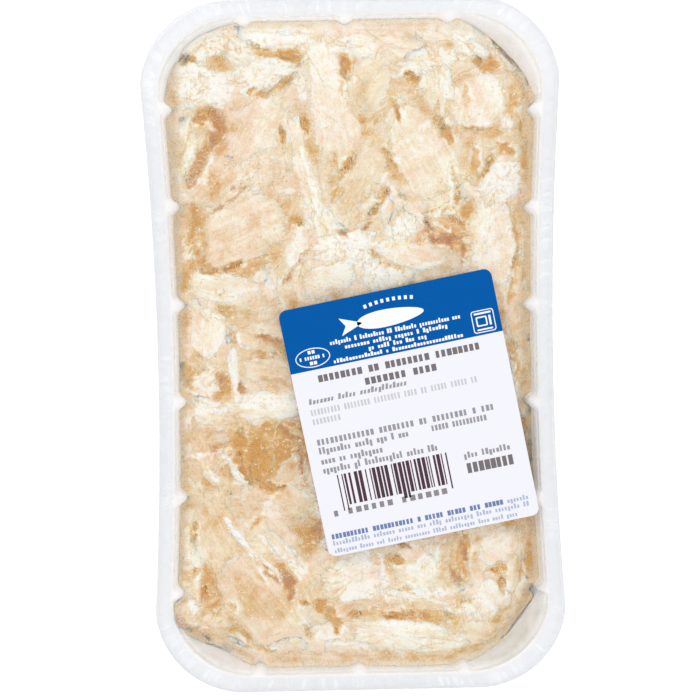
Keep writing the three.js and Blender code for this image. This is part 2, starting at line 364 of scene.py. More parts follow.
def build_tray():
    st = stations(190, 92, 42)
    n = len(st["t"])
    ribs = rib_share(st)

    def d_in(z):
        return wall_inset(z) + 0.35

    def d_out(z):
        return wall_inset(z) - 0.75

    # underside, outside wall, flange, inside wall, floor: inset, height, depth of rib
    prof = [(d_out(0) + 6.0, 0.55, 0), (d_out(0) + 5.4, 0.5, 0), (d_out(0) + 4.9, 0.12, 0), (d_out(0) + 4.3, 0.0, 0)]
    prof += [(d_out(0) + 2.7, 0.0, 0), (d_out(0) + 1.7, 0.16, 0), (d_out(0) + 0.85, 0.62, 0), (d_out(1) + 0.35, 1.5, 0)]
    for z in (2.6, 4.0, 5.5, 7.0, 8.5, 10.0, 14.0, 19.0, 24.0, 28.0, 30.5, 32.0):
        prof.append((d_out(z), z, RIB_DEPTH * float(smooth(2.5, 9.0, z))))
    prof += [(d_out(33.0) - 0.05, 33.0, RIB_DEPTH), (4.75, 33.6, RIB_DEPTH * 0.9), (4.55, 34.4, RIB_DEPTH * 0.55), (4.3, 35.0, RIB_DEPTH * 0.2)]
    prof += [(3.9, 35.15, 0), (1.9, 35.15, 0), (1.2, 35.05, 0), (0.95, 34.7, 0), (0.9, 34.0, 0), (0.88, 33.55, 0)]
    prof += [(0.7, 33.42, 0), (0.25, 33.42, 0), (0.06, 33.55, 0), (0.0, 33.9, 0), (0.0, 34.7, 0), (0.05, 35.2, 0)]
    prof += [(0.2, 35.58, 0), (0.45, 35.82, 0), (0.8, 35.95, 0), (1.3, 36.0, 0), (2.4, 36.0, 0), (3.5, 36.0, 0)]
    prof += [(4.5, 36.0, 0), (5.0, 35.96, 0), (5.3, 35.84, 0.02 * RIB_DEPTH), (5.48, 35.6, 0.06 * RIB_DEPTH), (5.58, 35.2, 0.2 * RIB_DEPTH)]
    prof += [(5.64, 34.7, 0.5 * RIB_DEPTH), (5.7, 34.2, 0.78 * RIB_DEPTH), (5.78, 33.75, 0.92 * RIB_DEPTH)]
    prof += [(5.98, 33.5, 0.97 * RIB_DEPTH), (6.2, 33.3, RIB_DEPTH), (6.32, 32.9, RIB_DEPTH)]
    for z in (32.0, 30.5, 28.5, 26.0, 23.0, 20.0, 17.0, 14.0, 11.0, 9.0, 7.5, 6.0):
        prof.append((d_in(z) + 0.12, z, RIB_DEPTH * float(smooth(2.5, 9.0, z))))
    prof += [(d_in(4.2) + 0.3, 4.2, RIB_DEPTH * 0.1), (d_in(3) + 0.9, 2.8, 0), (d_in(2) + 2.0, 1.7, 0), (d_in(1) + 3.6, 1.15, 0), (d_in(1) + 5.2, 1.05, 0)]
    verts, inner = [], []
    top = [k for k, (d, z, r) in enumerate(prof) if (d, z) == (4.5, 36.0)][0]
    turned = np.sin(2 * np.clip(st["turn"], 0, None)) ** 0.6
    # painted shade on the inner wall: greyer in the corners, along the right side, left side and near end, barely any
    # along the far end; strongest below the rim, weaker deep down
    painted_wall_shade = 0.2 + turned * np.choose(st["side"], [0.42, 0.5, 0.7, 0.8]) - 0.16 * ((st["side"] == 1) & (st["turn"] < 0)) + 0.3 * ((st["side"] == 3) & (st["turn"] < 0)) + 0.3 * ((st["side"] == 0) & (st["turn"] < 0)) + 0.15 * ((st["side"] == 2) & (st["turn"] < 0))
    for k, (d, z, r) in enumerate(prof):
        inner.append(painted_wall_shade * float(smooth(36.0, 34.3, z) * (0.3 + 0.7 * smooth(20.0, 31.0, z))) if k > top else np.zeros(n))
        x, y = outline(st, d, ribs * r, float(corner_in(z)) if d > 4.0 and z < 34.5 else 0.0)
        verts.append(np.stack([x, y, np.full(n, z)], 1))
    quads = ring_quads(n, len(prof))
    v = np.concatenate(verts)
    # underside panel: rings of the same outline shrunk to the middle
    extra, tris = [v], []
    inner = np.concatenate(inner)
    base = len(v)
    for first, z0, sign in ((0, 0.55, 1), ((len(prof) - 1) * n, 1.05, -1)):
        prev = np.arange(n) + first
        loop = v[prev]
        for share in (0.85, 0.6, 0.3):
            ring = loop.copy()
            ring[:, :2] *= share
            ring[:, 2] = z0
            idx = np.arange(n) + base
            i, j = np.arange(n), (np.arange(n) + 1) % n
            q = np.stack([idx[i], idx[j], prev[j], prev[i]], 1)
            quads = np.concatenate([quads, q if sign > 0 else q[:, ::-1]])
            extra.append(ring)
            base += n
            prev = idx
        extra.append(np.array([[0, 0, z0]]))
        i, j = np.arange(n), (np.arange(n) + 1) % n
        t3 = np.stack([np.full(n, base), prev[j], prev[i]], 1)
        tris.append(t3 if sign > 0 else t3[:, ::-1])
        base += 1
    v = np.concatenate(extra)
    inner = np.concatenate([inner, np.zeros(len(v) - len(inner))])
    ob = make_mesh("tray_shell", v, tris=np.concatenate(tris), quads=quads, attrs={"inner": inner}, material=tray_material())
    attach(ob, "root")
    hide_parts("tray")
    return ob


# ------------------------------------------------------------------ film
def film_material():
    m = Mat("sealing_film")
    painted_pleat_glint = m.attr("painted_pleat_glint")
    face = m.add("ShaderNodeLayerWeight", {"Blend": 0.5})
    pos = m.scaled(m.add("ShaderNodeTexCoord").outputs["Object"], (1000.0, 1000.0, 1000.0))
    wrink = m.noise(pos, 0.06, 3, 0.5, 0.6)
    normal = m.bump(wrink, 0.5, 1.0)
    m.put(face.inputs["Normal"], normal)
    shine = m.math("MULTIPLY_ADD", m.math("POWER", face.outputs["Facing"], 5.0), 0.85, 0.0068)
    seal = m.attr("seal")
    clear = m.add("ShaderNodeBsdfTransparent", {"Color": m.mix(seal, (1, 1, 1, 1), (0.938, 0.94, 0.946, 1))})
    gloss = m.add("ShaderNodeBsdfGlossy", {"Color": (1, 1, 1, 1), "Roughness": 0.08, "Normal": normal})
    # painted highlights: white diffuse streaks on the film's pleats over the rim
    white = m.add("ShaderNodeBsdfDiffuse", {"Color": (0.97, 0.97, 1.0, 1), "Roughness": 0.4})
    a = m.add("ShaderNodeMixShader", {0: shine, 1: clear.outputs[0], 2: gloss.outputs[0]})
    b = m.add("ShaderNodeMixShader", {0: painted_pleat_glint, 1: a.outputs[0], 2: white.outputs[0]})
    return m.done(b.outputs[0])


def build_film():
    st = stations(200, 100, 44)
    n = len(st["t"])
    # length along the outline, for the fine pleats of the film's seal on the rim and their painted highlights
    x0, y0 = outline(st, 2.5)
    step = np.hypot(np.diff(x0, append=x0[:1]), np.diff(y0, append=y0[:1]))
    along = np.concatenate([[0], np.cumsum(step)[:-1]])
    pleat = 0.5 + 0.5 * noise(along * 0.95, along * 0.0 + 3.3, 5)
    pleat = smooth(0.5, 0.85, pleat) * smooth(-0.15, 0.35, noise(along * 0.028, along * 0.0 + 8.8, 9) + 0.35 * (np.abs(y0) > 84))
    rings = [(0.35, 34.9), (0.02, 35.2), (-0.02, 35.6), (0.1, 35.95), (0.4, 36.12), (0.9, 36.2)]
    rings += [(d, FILM_Z) for d in (1.4, 2.0, 2.6, 3.2, 3.8, 4.4, 5.0, 5.6, 6.4, 8.0, 11.0, 16.0, 24.0, 34.0, 46.0)]
    verts, painted_pleat_glint, seal = [], [], []
    for d, z in rings:
        x, y = outline(st, max(d, -0.02))
        seal.append(np.full(n, float(1 - smooth(4.6, 5.8, d))))
        lift = 0.06 * pleat * float(smooth(0.5, 1.6, d) * (1 - smooth(4.4, 6.2, d)))
        verts.append(np.stack([x, y, z + lift], 1))
        # share of painted highlight on the pleats over the rim
        painted_pleat_glint.append(0.16 * pleat * float(smooth(0.4, 1.4, d) * (1 - smooth(3.4, 4.8, d))))
    top = np.concatenate(verts)
    centre = np.array([[0.0, 0.0, FILM_Z]])
    k = len(rings)
    under = top.copy()
    under[:, 2] -= 0.05
    under[: 3 * n, 2] += 0.05
    for r in range(3):
        x, y = outline(st, max(rings[r][0], -0.02) + 0.05)
        under[r * n : (r + 1) * n, 0], under[r * n : (r + 1) * n, 1] = x, y
    low = centre.copy()
    low[:, 2] -= 0.05
    v = np.concatenate([top, centre, under, low])
    w = np.concatenate([*painted_pleat_glint, [0.0], *painted_pleat_glint, [0.0]])
    sealed = np.concatenate([*seal, [0.0], *seal, [0.0]])
    half = len(top) + 1
    q_top = ring_quads(n, k)
    q_low = (ring_quads(n, k) + half)[:, ::-1]
    i, j = np.arange(n), (np.arange(n) + 1) % n
    edge = np.stack([i, i + half, j + half, j], 1)
    last = (k - 1) * n
    fan = np.stack([last + i, last + j, np.full(n, half - 1)], 1)
    fan_low = np.stack([half + last + j, half + last + i, np.full(n, 2 * half - 1)], 1)
    ob = make_mesh(
        "lid_film_skin", v, tris=np.concatenate([fan, fan_low]), quads=np.concatenate([q_top, q_low, edge]), attrs={"painted_pleat_glint": w, "seal": sealed}, material=film_material()
    )
    ob.visible_shadow = False  # clear film casts none
    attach(ob, "root")
    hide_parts("lid_film")
    return ob


# ------------------------------------------------------------------ label
def label_point(u, v):
    c, s = math.cos(LABEL_TURN), math.sin(LABEL_TURN)
    return LABEL_AT[0] + u * c - v * s, LABEL_AT[1] + u * s + v * c


def paper_material(name, colour, other, rough=0.42):
    m = Mat(name)
    pos = m.scaled(m.add("ShaderNodeTexCoord").outputs["Object"], (1000.0, 1000.0, 1000.0))
    fibre = m.noise(pos, 1.7, 4, 0.65)
    cloud = m.noise(pos, 0.08, 2, 0.5)
    base = m.mix(m.ramp(fibre, 0.3, 0.75), colour, other)
    p = m.principled(Base_Color=base, Roughness=m.ramp(cloud, 0.3, 0.7, rough - 0.06, rough + 0.06), Normal=m.bump(fibre, 0.15, 0.04))
    p.inputs["Specular IOR Level"].default_value = 0.06
    return m.done(p.outputs[0])


class Print:
    """Flat shapes of one ink, laid on the label as thin closed prisms."""

    def __init__(self, z, thick=0.03):
        self.z, self.t = z, thick
        self.v, self.q, self.tr, self.n = [], [], [], 0

    def poly(self, pts):
        pts = np.asarray(pts, float)
        k = len(pts)
        area = 0.5 * np.sum(pts[:, 0] * np.roll(pts[:, 1], -1) - np.roll(pts[:, 0], -1) * pts[:, 1])
        if area < 0:
            pts = pts[::-1]
        x, y = label_point(pts[:, 0], pts[:, 1])
        c = label_point(*pts.mean(0))
        for z in (self.z, self.z + self.t):
            self.v.append(np.stack([x, y, np.full(k, z)], 1))
            self.v.append(np.array([[c[0], c[1], z]]))
        i, j = np.arange(k), (np.arange(k) + 1) % k
        lo, hi = self.n, self.n + k + 1
        self.q.append(np.stack([lo + i, lo + j, hi + j, hi + i], 1))
        self.tr.append(np.stack([lo + j, lo + i, np.full(k, lo + k)], 1))
        self.tr.append(np.stack([hi + i, hi + j, np.full(k, hi + k)], 1))
        self.n += 2 * (k + 1)

    def bar(self, u0, u1, v0, v1, lean=0.0):
        self.poly([(u0, v0), (u1, v0), (u1 + lean, v1), (u0 + lean, v1)])

    def words(self, u0, u1, v, height, counts, rng, lean=0.0, caps=False, fill=0.72):
        """A line of greeked words: runs of plain blocks, one for a letter."""
        letters = sum(counts) + 1.0 * (len(counts) - 1)
        step = (u1 - u0) / letters
        u = u0
        for c in counts:
            for _ in range(c):
                w = step * fill * rng.uniform(0.8, 1.12)
                up, down = 0.0, 0.0
                if not caps:
                    pick = rng.random()
                    up = 0.38 * height if pick < 0.27 else 0.0
                    down = 0.3 * height if pick > 0.9 else 0.0
                    hh = height * 0.74
                else:
                    hh = height
                self.bar(u, u + w, v - down, v + hh + up, lean)
                u += step
            u += step

    def frame(self, outer, inner):
        """A closed band between two outlines with as many points."""
        o, i2 = np.asarray(outer, float), np.asarray(inner, float)
        k = len(o)
        xo, yo = label_point(o[:, 0], o[:, 1])
        xi, yi = label_point(i2[:, 0], i2[:, 1])
        for z in (self.z, self.z + self.t):
            self.v.append(np.stack([xo, yo, np.full(k, z)], 1))
            self.v.append(np.stack([xi, yi, np.full(k, z)], 1))
        i, j = np.arange(k), (np.arange(k) + 1) % k
        a, b, c, d = self.n, self.n + k, self.n + 2 * k, self.n + 3 * k
        self.q.append(np.stack([c + i, c + j, d + j, d + i], 1))
        self.q.append(np.stack([b + i, b + j, a + j, a + i], 1))
        self.q.append(np.stack([a + i, a + j, c + j, c + i], 1))
        self.q.append(np.stack([d + i, d + j, b + j, b + i], 1))
        self.n += 4 * k

    def build(self, name, material):
        ob = make_mesh(
            name, np.concatenate(self.v), tris=np.concatenate(self.tr) if self.tr else None, quads=np.concatenate(self.q), smooth=False, material=material
        )
        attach(ob, "root")
        return ob


def round_rect(w, h, r, k=7, at=(0.0, 0.0)):
    pts = []
    for cx, cy, a0 in ((1, -1, -90), (1, 1, 0), (-1, 1, 90), (-1, -1, 180)):
        for i in range(k):
            a = math.radians(a0 + 90.0 * i / (k - 1))
            pts.append((at[0] + cx * (w / 2 - r) + r * math.cos(a), at[1] + cy * (h / 2 - r) + r * math.sin(a)))
    return np.array(pts)


def build_label():
    z0 = FILM_Z + 0.06
    z1 = z0 + 0.22
    white = paper_material("label_paper", srgb(233, 232, 239), srgb(236, 235, 242))
    blue = paper_material("label_blue", srgb(0, 83, 157), srgb(0, 91, 167), 0.38)
    band_v = 20.2
    # paper: outline with a cut at the band's edge, so that both fields lie in one plane
    loop = round_rect(LABEL_W, LABEL_H, LABEL_R, 9)
    right = [p for p in loop if p[0] > 0]
    left = [p for p in loop if p[0] < 0]
    r_lo, r_hi = [p for p in right if p[1] < 0], [p for p in right if p[1] > 0]
    l_hi, l_lo = [p for p in left if p[1] > 0], [p for p in left if p[1] < 0]
    lower = r_lo + [(LABEL_W / 2, band_v), (-LABEL_W / 2, band_v)] + l_lo
    upper = r_hi + l_hi + [(-LABEL_W / 2, band_v), (LABEL_W / 2, band_v)]
    full = r_lo + [(LABEL_W / 2, band_v)] + r_hi + l_hi + [(-LABEL_W / 2, band_v)] + l_lo
    pts = np.array(full)
    x, y = label_point(pts[:, 0], pts[:, 1])
    k = len(pts)
    me = bpy.data.meshes.new("label_paper")
    verts = [(a * 0.001, b * 0.001, z0 * 0.001) for a, b in zip(x, y)] + [(a * 0.001, b * 0.001, z1 * 0.001) for a, b in zip(x, y)]
    index = {tuple(np.round(p, 6)): i for i, p in enumerate(full)}
    f_low = [index[tuple(np.round(p, 6))] + k for p in lower]
    f_up = [index[tuple(np.round(p, 6))] + k for p in upper]
    faces = [list(range(k))[::-1], f_low, f_up] + [[i, (i + 1) % k, (i + 1) % k + k, i + k] for i in range(k)]
    me.from_pydata(verts, [], faces)
    me.materials.append(white)
    me.materials.append(blue)
    me.polygons[2].material_index = 1
    for i in range(k):
        if pts[i][1] >= band_v - 1e-6 and pts[(i + 1) % k][1] >= band_v - 1e-6:
            me.polygons[3 + i].material_index = 1
    me.update()
    paper = bpy.data.objects.new("label_paper", me)
    bpy.context.scene.collection.objects.link(paper)
    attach(paper, "root")
    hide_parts("label")

    rng = np.random.default_rng(20)
    zt = z1 + 0.012
    # white marks on the blue field
    w = Print(zt)
    for i in range(9):  # a small arc of blocks at the head
        a = math.radians(-11.0 + 22.0 * i / 8)
        cx, cy = 0.6 + 40 * math.sin(a), -1.6 + 40 * math.cos(a) - 0.7
        ux, uy = math.cos(a), -math.sin(a)
        hw, hh = 0.48, 0.6
        w.poly([(cx + sx * hw * ux - sy * hh * uy, cy + sx * hw * uy + sy * hh * ux) for sx, sy in ((-1, -1), (1, -1), (1, 1), (-1, 1))])
    # a plain fish sign in the place of a name
    t = np.linspace(0, 2 * np.pi, 40, endpoint=False)
    body = np.stack([0.3 + 11.0 * np.cos(t), 32.0 + 2.75 * np.sin(t) * (1 - 0.22 * np.cos(t))], 1)
    w.poly(body)
    w.poly([(-9.2, 32.2), (-16.2, 34.9), (-14.4, 32.0), (-16.2, 29.1), (-9.2, 31.8)])
    w.words(-20.5, 22.5, 27.0, 1.35, (8, 1, 9, 2, 8, 11, 3), rng)
    w.words(-16.0, 18.0, 24.9, 1.3, (8, 6, 6, 1, 8), rng)
    w.words(-8.6, 10.8, 22.9, 1.3, (2, 4, 3, 3, 3), rng)
    w.words(-20.5, 22.3, 20.95, 1.2, (16, 1, 23), rng)
    for rx, ry, th in ((5.7, 3.15, 0.3),):
        t = np.linspace(0, 2 * np.pi, 48, endpoint=False)
        c0 = np.array([-26.9, 24.2])
        w.frame(c0 + np.stack([rx * np.cos(t), ry * np.sin(t)], 1), c0 + np.stack([(rx - th) * np.cos(t), (ry - th) * np.sin(t)], 1))
    w.words(-28.2, -25.6, 25.5, 1.1, (2,), rng, caps=True)
    w.words(-31.2, -22.8, 23.65, 1.1, (1, 6, 1), rng, caps=True)
    w.words(-28.2, -25.6, 21.9, 1.1, (2,), rng, caps=True)
    w.frame(round_rect(7.4, 7.3, 0.9, 7, (29.5, 24.6)), round_rect(6.8, 6.7, 0.7, 7, (29.5, 24.6)))
    w.frame(round_rect(3.6, 3.2, 0.4, 7, (28.9, 24.6)), round_rect(2.7, 2.3, 0.25, 7, (28.9, 24.6)))
    w.bar(26.8, 32.3, 26.9, 27.5)
    w.bar(27.0, 32.1, 21.7, 22.2)
    w.bar(31.3, 32.0, 23.0, 26.2)
    ink_white = paper_material("label_white_ink", srgb(240, 244, 252), srgb(246, 249, 255), 0.4)
    w.build("label_marks_white", ink_white)
    # the heading, in dark grey
    d = Print(zt)
    d.words(-26.6, 27.0, 15.9, 2.25, (8, 2, 8, 8), rng, caps=True, fill=0.74)
    d.words(-11.9, 12.0, 12.0, 2.25, (7, 4), rng, caps=True, fill=0.74)
    d.words(14.8, 30.4, -23.1, 3.3, (8,), rng, caps=True, fill=0.8)
    d.build("label_marks_heading", paper_material("label_ink_grey", srgb(112, 106, 110), srgb(124, 118, 122), 0.4))
    # lines of small print
    g = Print(zt)
    g.words(-31.2, 1.3, 9.3, 1.65, (7, 5, 13), rng, lean=0.35, fill=0.66)
    g.words(-31.2, 27.6, -4.3, 1.95, (13, 8, 2, 8, 1, 3), rng, caps=True, fill=0.62)
    g.words(-31.2, -1.3, -7.2, 1.95, (9, 5, 3, 1, 3), rng, fill=0.66)
    g.words(6.1, 24.5, -7.2, 1.85, (5, 10), rng, caps=True, fill=0.66)
    g.words(-31.2, -10.6, -10.6, 1.95, (4, 2, 9), rng, fill=0.66)
    g.words(-31.2, 7.0, -13.6, 1.95, (8, 2, 11, 5, 3), rng, fill=0.66)
    g.words(14.6, 30.0, -18.1, 1.8, (4, 8), rng, fill=0.66)
    g.build("label_marks_text", paper_material("label_ink_soft", srgb(148, 144, 150), srgb(158, 154, 160), 0.4))
    f = Print(zt)
    f.words(-31.2, 24.0, 5.6, 1.95, (9, 8, 8, 4, 2, 5, 5, 2), rng, caps=True, fill=0.55)
    f.words(-31.2, -21.7, 2.6, 1.85, (8,), rng, caps=True, fill=0.55)
    f.build("label_marks_pale", paper_material("label_ink_pale", srgb(196, 194, 198), srgb(204, 202, 206), 0.4))
    # striped field
    b = Print(zt)
    u, end = -27.2, 9.1
    k = 0
    while u < end:
        wd = (0.38, 0.38, 0.72, 1.1)[int(rng.integers(0, 4))]
        low = -26.9 if (k < 2 or 14 <= k < 16 or u > end - 1.6) else -25.2
        b.bar(u, min(u + wd, end), low, -14.9)
        u += wd + (0.4, 0.4, 0.75, 1.1)[int(rng.integers(0, 4))]
        k += 1
    b.build("label_marks_stripes", paper_material("label_ink_dark", srgb(72, 50, 60), srgb(84, 62, 72), 0.4))
    n = Print(zt)
    n.words(-30.6, -28.6, -28.2, 1.9, (1,), rng, caps=True, fill=0.7)
    n.words(-25.9, -10.2, -28.2, 1.9, (6,), rng, caps=True, fill=0.62)
    n.words(-8.0, 7.8, -28.2, 1.9, (6,), rng, caps=True, fill=0.62)
    n.build("label_marks_digits", paper_material("label_ink_mid", srgb(136, 130, 134), srgb(146, 140, 144), 0.4))
    # foot of the label, in blue
    c = Print(zt)
    c.words(-32.9, 24.2, -35.4, 1.65, (10, 11, 1, 5, 5, 3, 5), rng, caps=True, fill=0.74)
    c.build("label_marks_blue", paper_material("label_ink_blue", srgb(104, 122, 168), srgb(116, 134, 176), 0.4))
    e = Print(zt)
    e.words(25.4, 32.6, -35.3, 1.45, (7,), rng, fill=0.66)
    e.words(-32.9, 32.4, -37.5, 1.45, (12, 7, 5, 3, 4, 9, 5, 8, 2), rng, fill=0.66)
    e.words(-32.9, 28.0, -40.0, 1.3, (8, 5, 3, 5, 9, 5, 9, 4, 4, 4), rng, fill=0.66)
    e.build("label_marks_foot", paper_material("label_ink_foot", srgb(170, 180, 204), srgb(180, 190, 212), 0.4))
    return paper


# ------------------------------------------------------------------ the heap's height map
class HeightMap:
    """The top of the heap as a grid, kept up to date while pieces are laid on it."""

    def __init__(self, cell=0.5):
        self.c = cell
        self.x0, self.y0 = -63.0, -109.0
        self.nx, self.ny = int(126 / cell) + 1, int(218 / cell) + 1
        gx, gy = np.meshgrid(self.x0 + np.arange(self.nx) * cell, self.y0 + np.arange(self.ny) * cell)
        self.h = core_height(gx, gy)

    def index(self, x, y):
        i = np.clip(np.rint((x - self.x0) / self.c).astype(int), 0, self.nx - 1)
        j = np.clip(np.rint((y - self.y0) / self.c).astype(int), 0, self.ny - 1)
        return j, i

    def sample(self, grid, x, y, ox=0, oy=0):
        u = np.clip((x - self.x0) / self.c - ox, 0, grid.shape[1] - 1.001)
        v = np.clip((y - self.y0) / self.c - oy, 0, grid.shape[0] - 1.001)
        i, j = np.floor(u).astype(int), np.floor(v).astype(int)
        fu, fv = u - i, v - j
        return (grid[j, i] * (1 - fu) + grid[j, i + 1] * fu) * (1 - fv) + (grid[j + 1, i] * (1 - fu) + grid[j + 1, i + 1] * fu) * fv

    def blurred(self, grid, sigma):
        s = sigma / self.c
        r = int(math.ceil(2.5 * s))
        k = np.exp(-0.5 * (np.arange(-r, r + 1) / s) ** 2)
        k /= k.sum()
        p = np.pad(grid, ((r, r), (0, 0)), mode="edge")
        out = sum(k[n] * p[n : n + grid.shape[0]] for n in range(2 * r + 1))
        p = np.pad(out, ((0, 0), (r, r)), mode="edge")
        return sum(k[n] * p[:, n : n + grid.shape[1]] for n in range(2 * r + 1))

    def window(self, x, y, pad=6.0):
        i0 = max(int((x.min() - pad - self.x0) / self.c), 0)
        i1 = min(int((x.max() + pad - self.x0) / self.c) + 2, self.nx)
        j0 = max(int((y.min() - pad - self.y0) / self.c), 0)
        j1 = min(int((y.max() + pad - self.y0) / self.c) + 2, self.ny)
        return i0, i1, j0, j1

    def stamp(self, x, y, z):
        j, i = self.index(x, y)
        np.maximum.at(self.h, (j.ravel(), i.ravel()), z.ravel())


def wall_drop(x, y):
    """How much lower the heap lies near the walls and in its slack corners."""
    d, _, _ = inset_of(x, y)
    high = np.exp(-(((x + 54) / 22) ** 2) - (((y - 100) / 22) ** 2)) + 0.45 * smooth(85, 100, y)
    high = high + np.exp(-(((x + 58) / 13) ** 2) - (((y + 88) / 14) ** 2))
    drop = 4.4 * (1 - 0.85 * np.clip(high, 0, 1)) * (1 - smooth(7.0, 17.0, d))
    drop = drop + 9.0 * np.exp(-(((x - 55) / 12) ** 2) - (((y + 101) / 12) ** 2))
    drop = drop + 12.0 * np.exp(-(((x - 57) / 8) ** 2) - (((y - 105) / 10) ** 2))
    drop = drop - 3.5 * np.exp(-(((x + 62) / 5) ** 2) - (((y + 92) / 7) ** 2))
    return drop


def slack(x, y):
    """How far the pressed heap hangs back in its slack corners, and stands up (below 0) where it is full."""
    low = 6.0 * np.exp(-(((x - 57) / 9) ** 2) - (((y - 104) / 11) ** 2)) + 2.5 * np.exp(-(((x + 49) / 10) ** 2) - (((y + 105) / 6) ** 2))
    low = low + 2.5 * np.exp(-(((x - 63) / 6.5) ** 2)) * smooth(-112, -90, y)
    return low - 3.0 * np.exp(-(((x + 62) / 6) ** 2) - (((y + 90) / 9) ** 2))


def core_height(x, y):
    """Top of the core under the loose pieces: rough, and lower at the walls."""
    z = 27.2 + 1.6 * fbm(x / 15, y / 15, 3, 3) + 0.9 * fbm(x / 4.2, y / 4.2, 4, 4)
    return z - 0.9 * wall_drop(x, y) + 1.8 * (1 - smooth(6.6, 9.2, inset_of(x, y)[0]))


def pressed(z, cap=CAP, soft=0.3):
    """Tops flattened against the film."""
    return cap - soft * np.logaddexp(0.0, (cap - z) / soft)


# ------------------------------------------------------------------ one torn flake
def make_spec(x, y, length, width, angle, thick, tone, seed, **more):
    spec = {
        "x": x, "y": y, "l": length, "w": width, "a": math.radians(angle), "t": thick, "tone": tone, "seed": seed,
        "square": 2.5, "fray": 0.5, "taper": 0.0, "waist": 0.0, "bend": 0.0, "curl": 0.0, "cup": 0.0, "crisp": 0.65,
        "tilt": (0.0, 0.0), "rough": 0.0, "layer": 0.35, "follow": 0.42, "sink": 0.3, "salt": 0.0, "res": 0.8, "drop": 0.0,
    }
    spec.update(more)
    return spec


def flake_edge(p, phi):
    """The torn outline of a flake round its middle, and the way out from it, in mm."""
    s, n, hl, hw = p["seed"], p["square"], p["l"] / 2, p["w"] / 2
    ca, sa = np.cos(phi), np.sin(phi)
    a = np.sign(ca) * np.abs(ca) ** (2 / n)
    b = np.sign(sa) * np.abs(sa) ** (2 / n)
    b = b * (1 + p["taper"] * a) * (1 - p["waist"] * (1 - a * a))
    la, lb = a * hl, b * hw
    nx = np.sign(ca) * np.abs(ca) ** (2 - 2 / n) / hl + 1e-9
    ny = np.sign(sa) * np.abs(sa) ** (2 - 2 / n) / hw + 1e-9
    k = np.hypot(nx, ny)
    nx, ny = nx / k, ny / k
    end = smooth(0.45, 1.0, np.abs(ca))
    size = min(1.0, p["w"] / 10)
    wave = 1.1 * size * noise(la / 6.5 + s * 1.7, lb / 6.5, s + 2)
    nick = (0.6 + 0.9 * p["fray"] * (0.4 + 0.6 * end)) * size * fbm(la / 2.4, lb / 2.4 + s, s + 3, 3)
    teeth = 2.4 * size * p["fray"] * end * (noise(lb / 1.7, np.sign(ca) * 3.1 + la / 14, s + 5) + 0.6 * noise(lb / 0.75, np.sign(ca) * 5.3 + la / 9, s + 6))
    out = wave + nick + teeth
    return la + out * nx, lb + out * ny, nx, ny, end


def even_angles(p, n):
    """Angles at which a flake's outline is cut into n about even steps."""
    dense = np.linspace(0, 2 * np.pi, 361)
    x, y, _, _, _ = flake_edge(p, dense)
    run = np.concatenate([[0], np.cumsum(np.hypot(np.diff(x), np.diff(y)))])
    return np.interp(np.arange(n) / n * run[-1], run, dense)


def flake_plan(p, rho, phi):
    """Points (rho, phi) of a flake: along and across the grain, in the tray, and how far they lie from its rim."""
    ex, ey, nx, ny, end = flake_edge(p, phi)
    la, lb = rho * ex, rho * ey
    rim = (1 - rho) * np.clip(ex * nx + ey * ny, 0.4, None)
    lc = lb + p["bend"] * ((2 * la / p["l"]) ** 2 - 0.33) * p["l"] / 2
    c, sn = math.cos(p["a"]), math.sin(p["a"])
    return la, lb, p["x"] + la * c - lc * sn, p["y"] + la * sn + lc * c, rim, end


def flake_rise(p, la, lb, rim, end):
    """Height of a flake's top above its underside."""
    s = p["seed"]
    soft = (0.85 + 1.6 * (1 - p["crisp"])) * (1 - end) + (1.6 + 2.6 * (1 - p["crisp"])) * end
    body = 1 - np.exp(-((rim / soft) ** 1.2))
    env = 1 - np.exp(-((rim / 0.7) ** 1.5))
    broad = 0.16 * p["t"] * fbm(la / 10 + s, lb / 7, s + 11, 3)
    grain = 0.13 * noise(la / 9, lb / 1.5 + s, s + 12) + 0.07 * noise(la / 5, lb / 0.8, s + 13)
    crease = -0.12 * np.exp(-((noise(la / 13 + 2 * s, lb / 5.0, s + 14) / 0.05) ** 2))
    step = 0.4 * p["layer"] * (smooth(-0.04, 0.06, fbm(la / 9 + 5, lb / 5 + s, s + 15, 4)) - 0.5)
    grit = 0.10 * fbm(la / 1.5, lb / 1.3, s + 16, 3, 0.6)
    rel = broad + grain + crease * p["layer"] + step + grit
    if p["rough"] > 0:
        k = fbm(la / 4.2 + s, lb / 3.8, s + 17, 4, 0.6)
        rel = rel + p["rough"] * (1.15 * (0.33 - np.abs(k) * 1.9) + 0.5 * fbm(la / 1.5, lb / 1.5, s + 18, 3, 0.6))
    ends = p["curl"] * (2 * la / p["l"]) ** 2 + p["cup"] * (2 * lb / p["w"]) ** 2
    return p["t"] * body + rel * env, ends


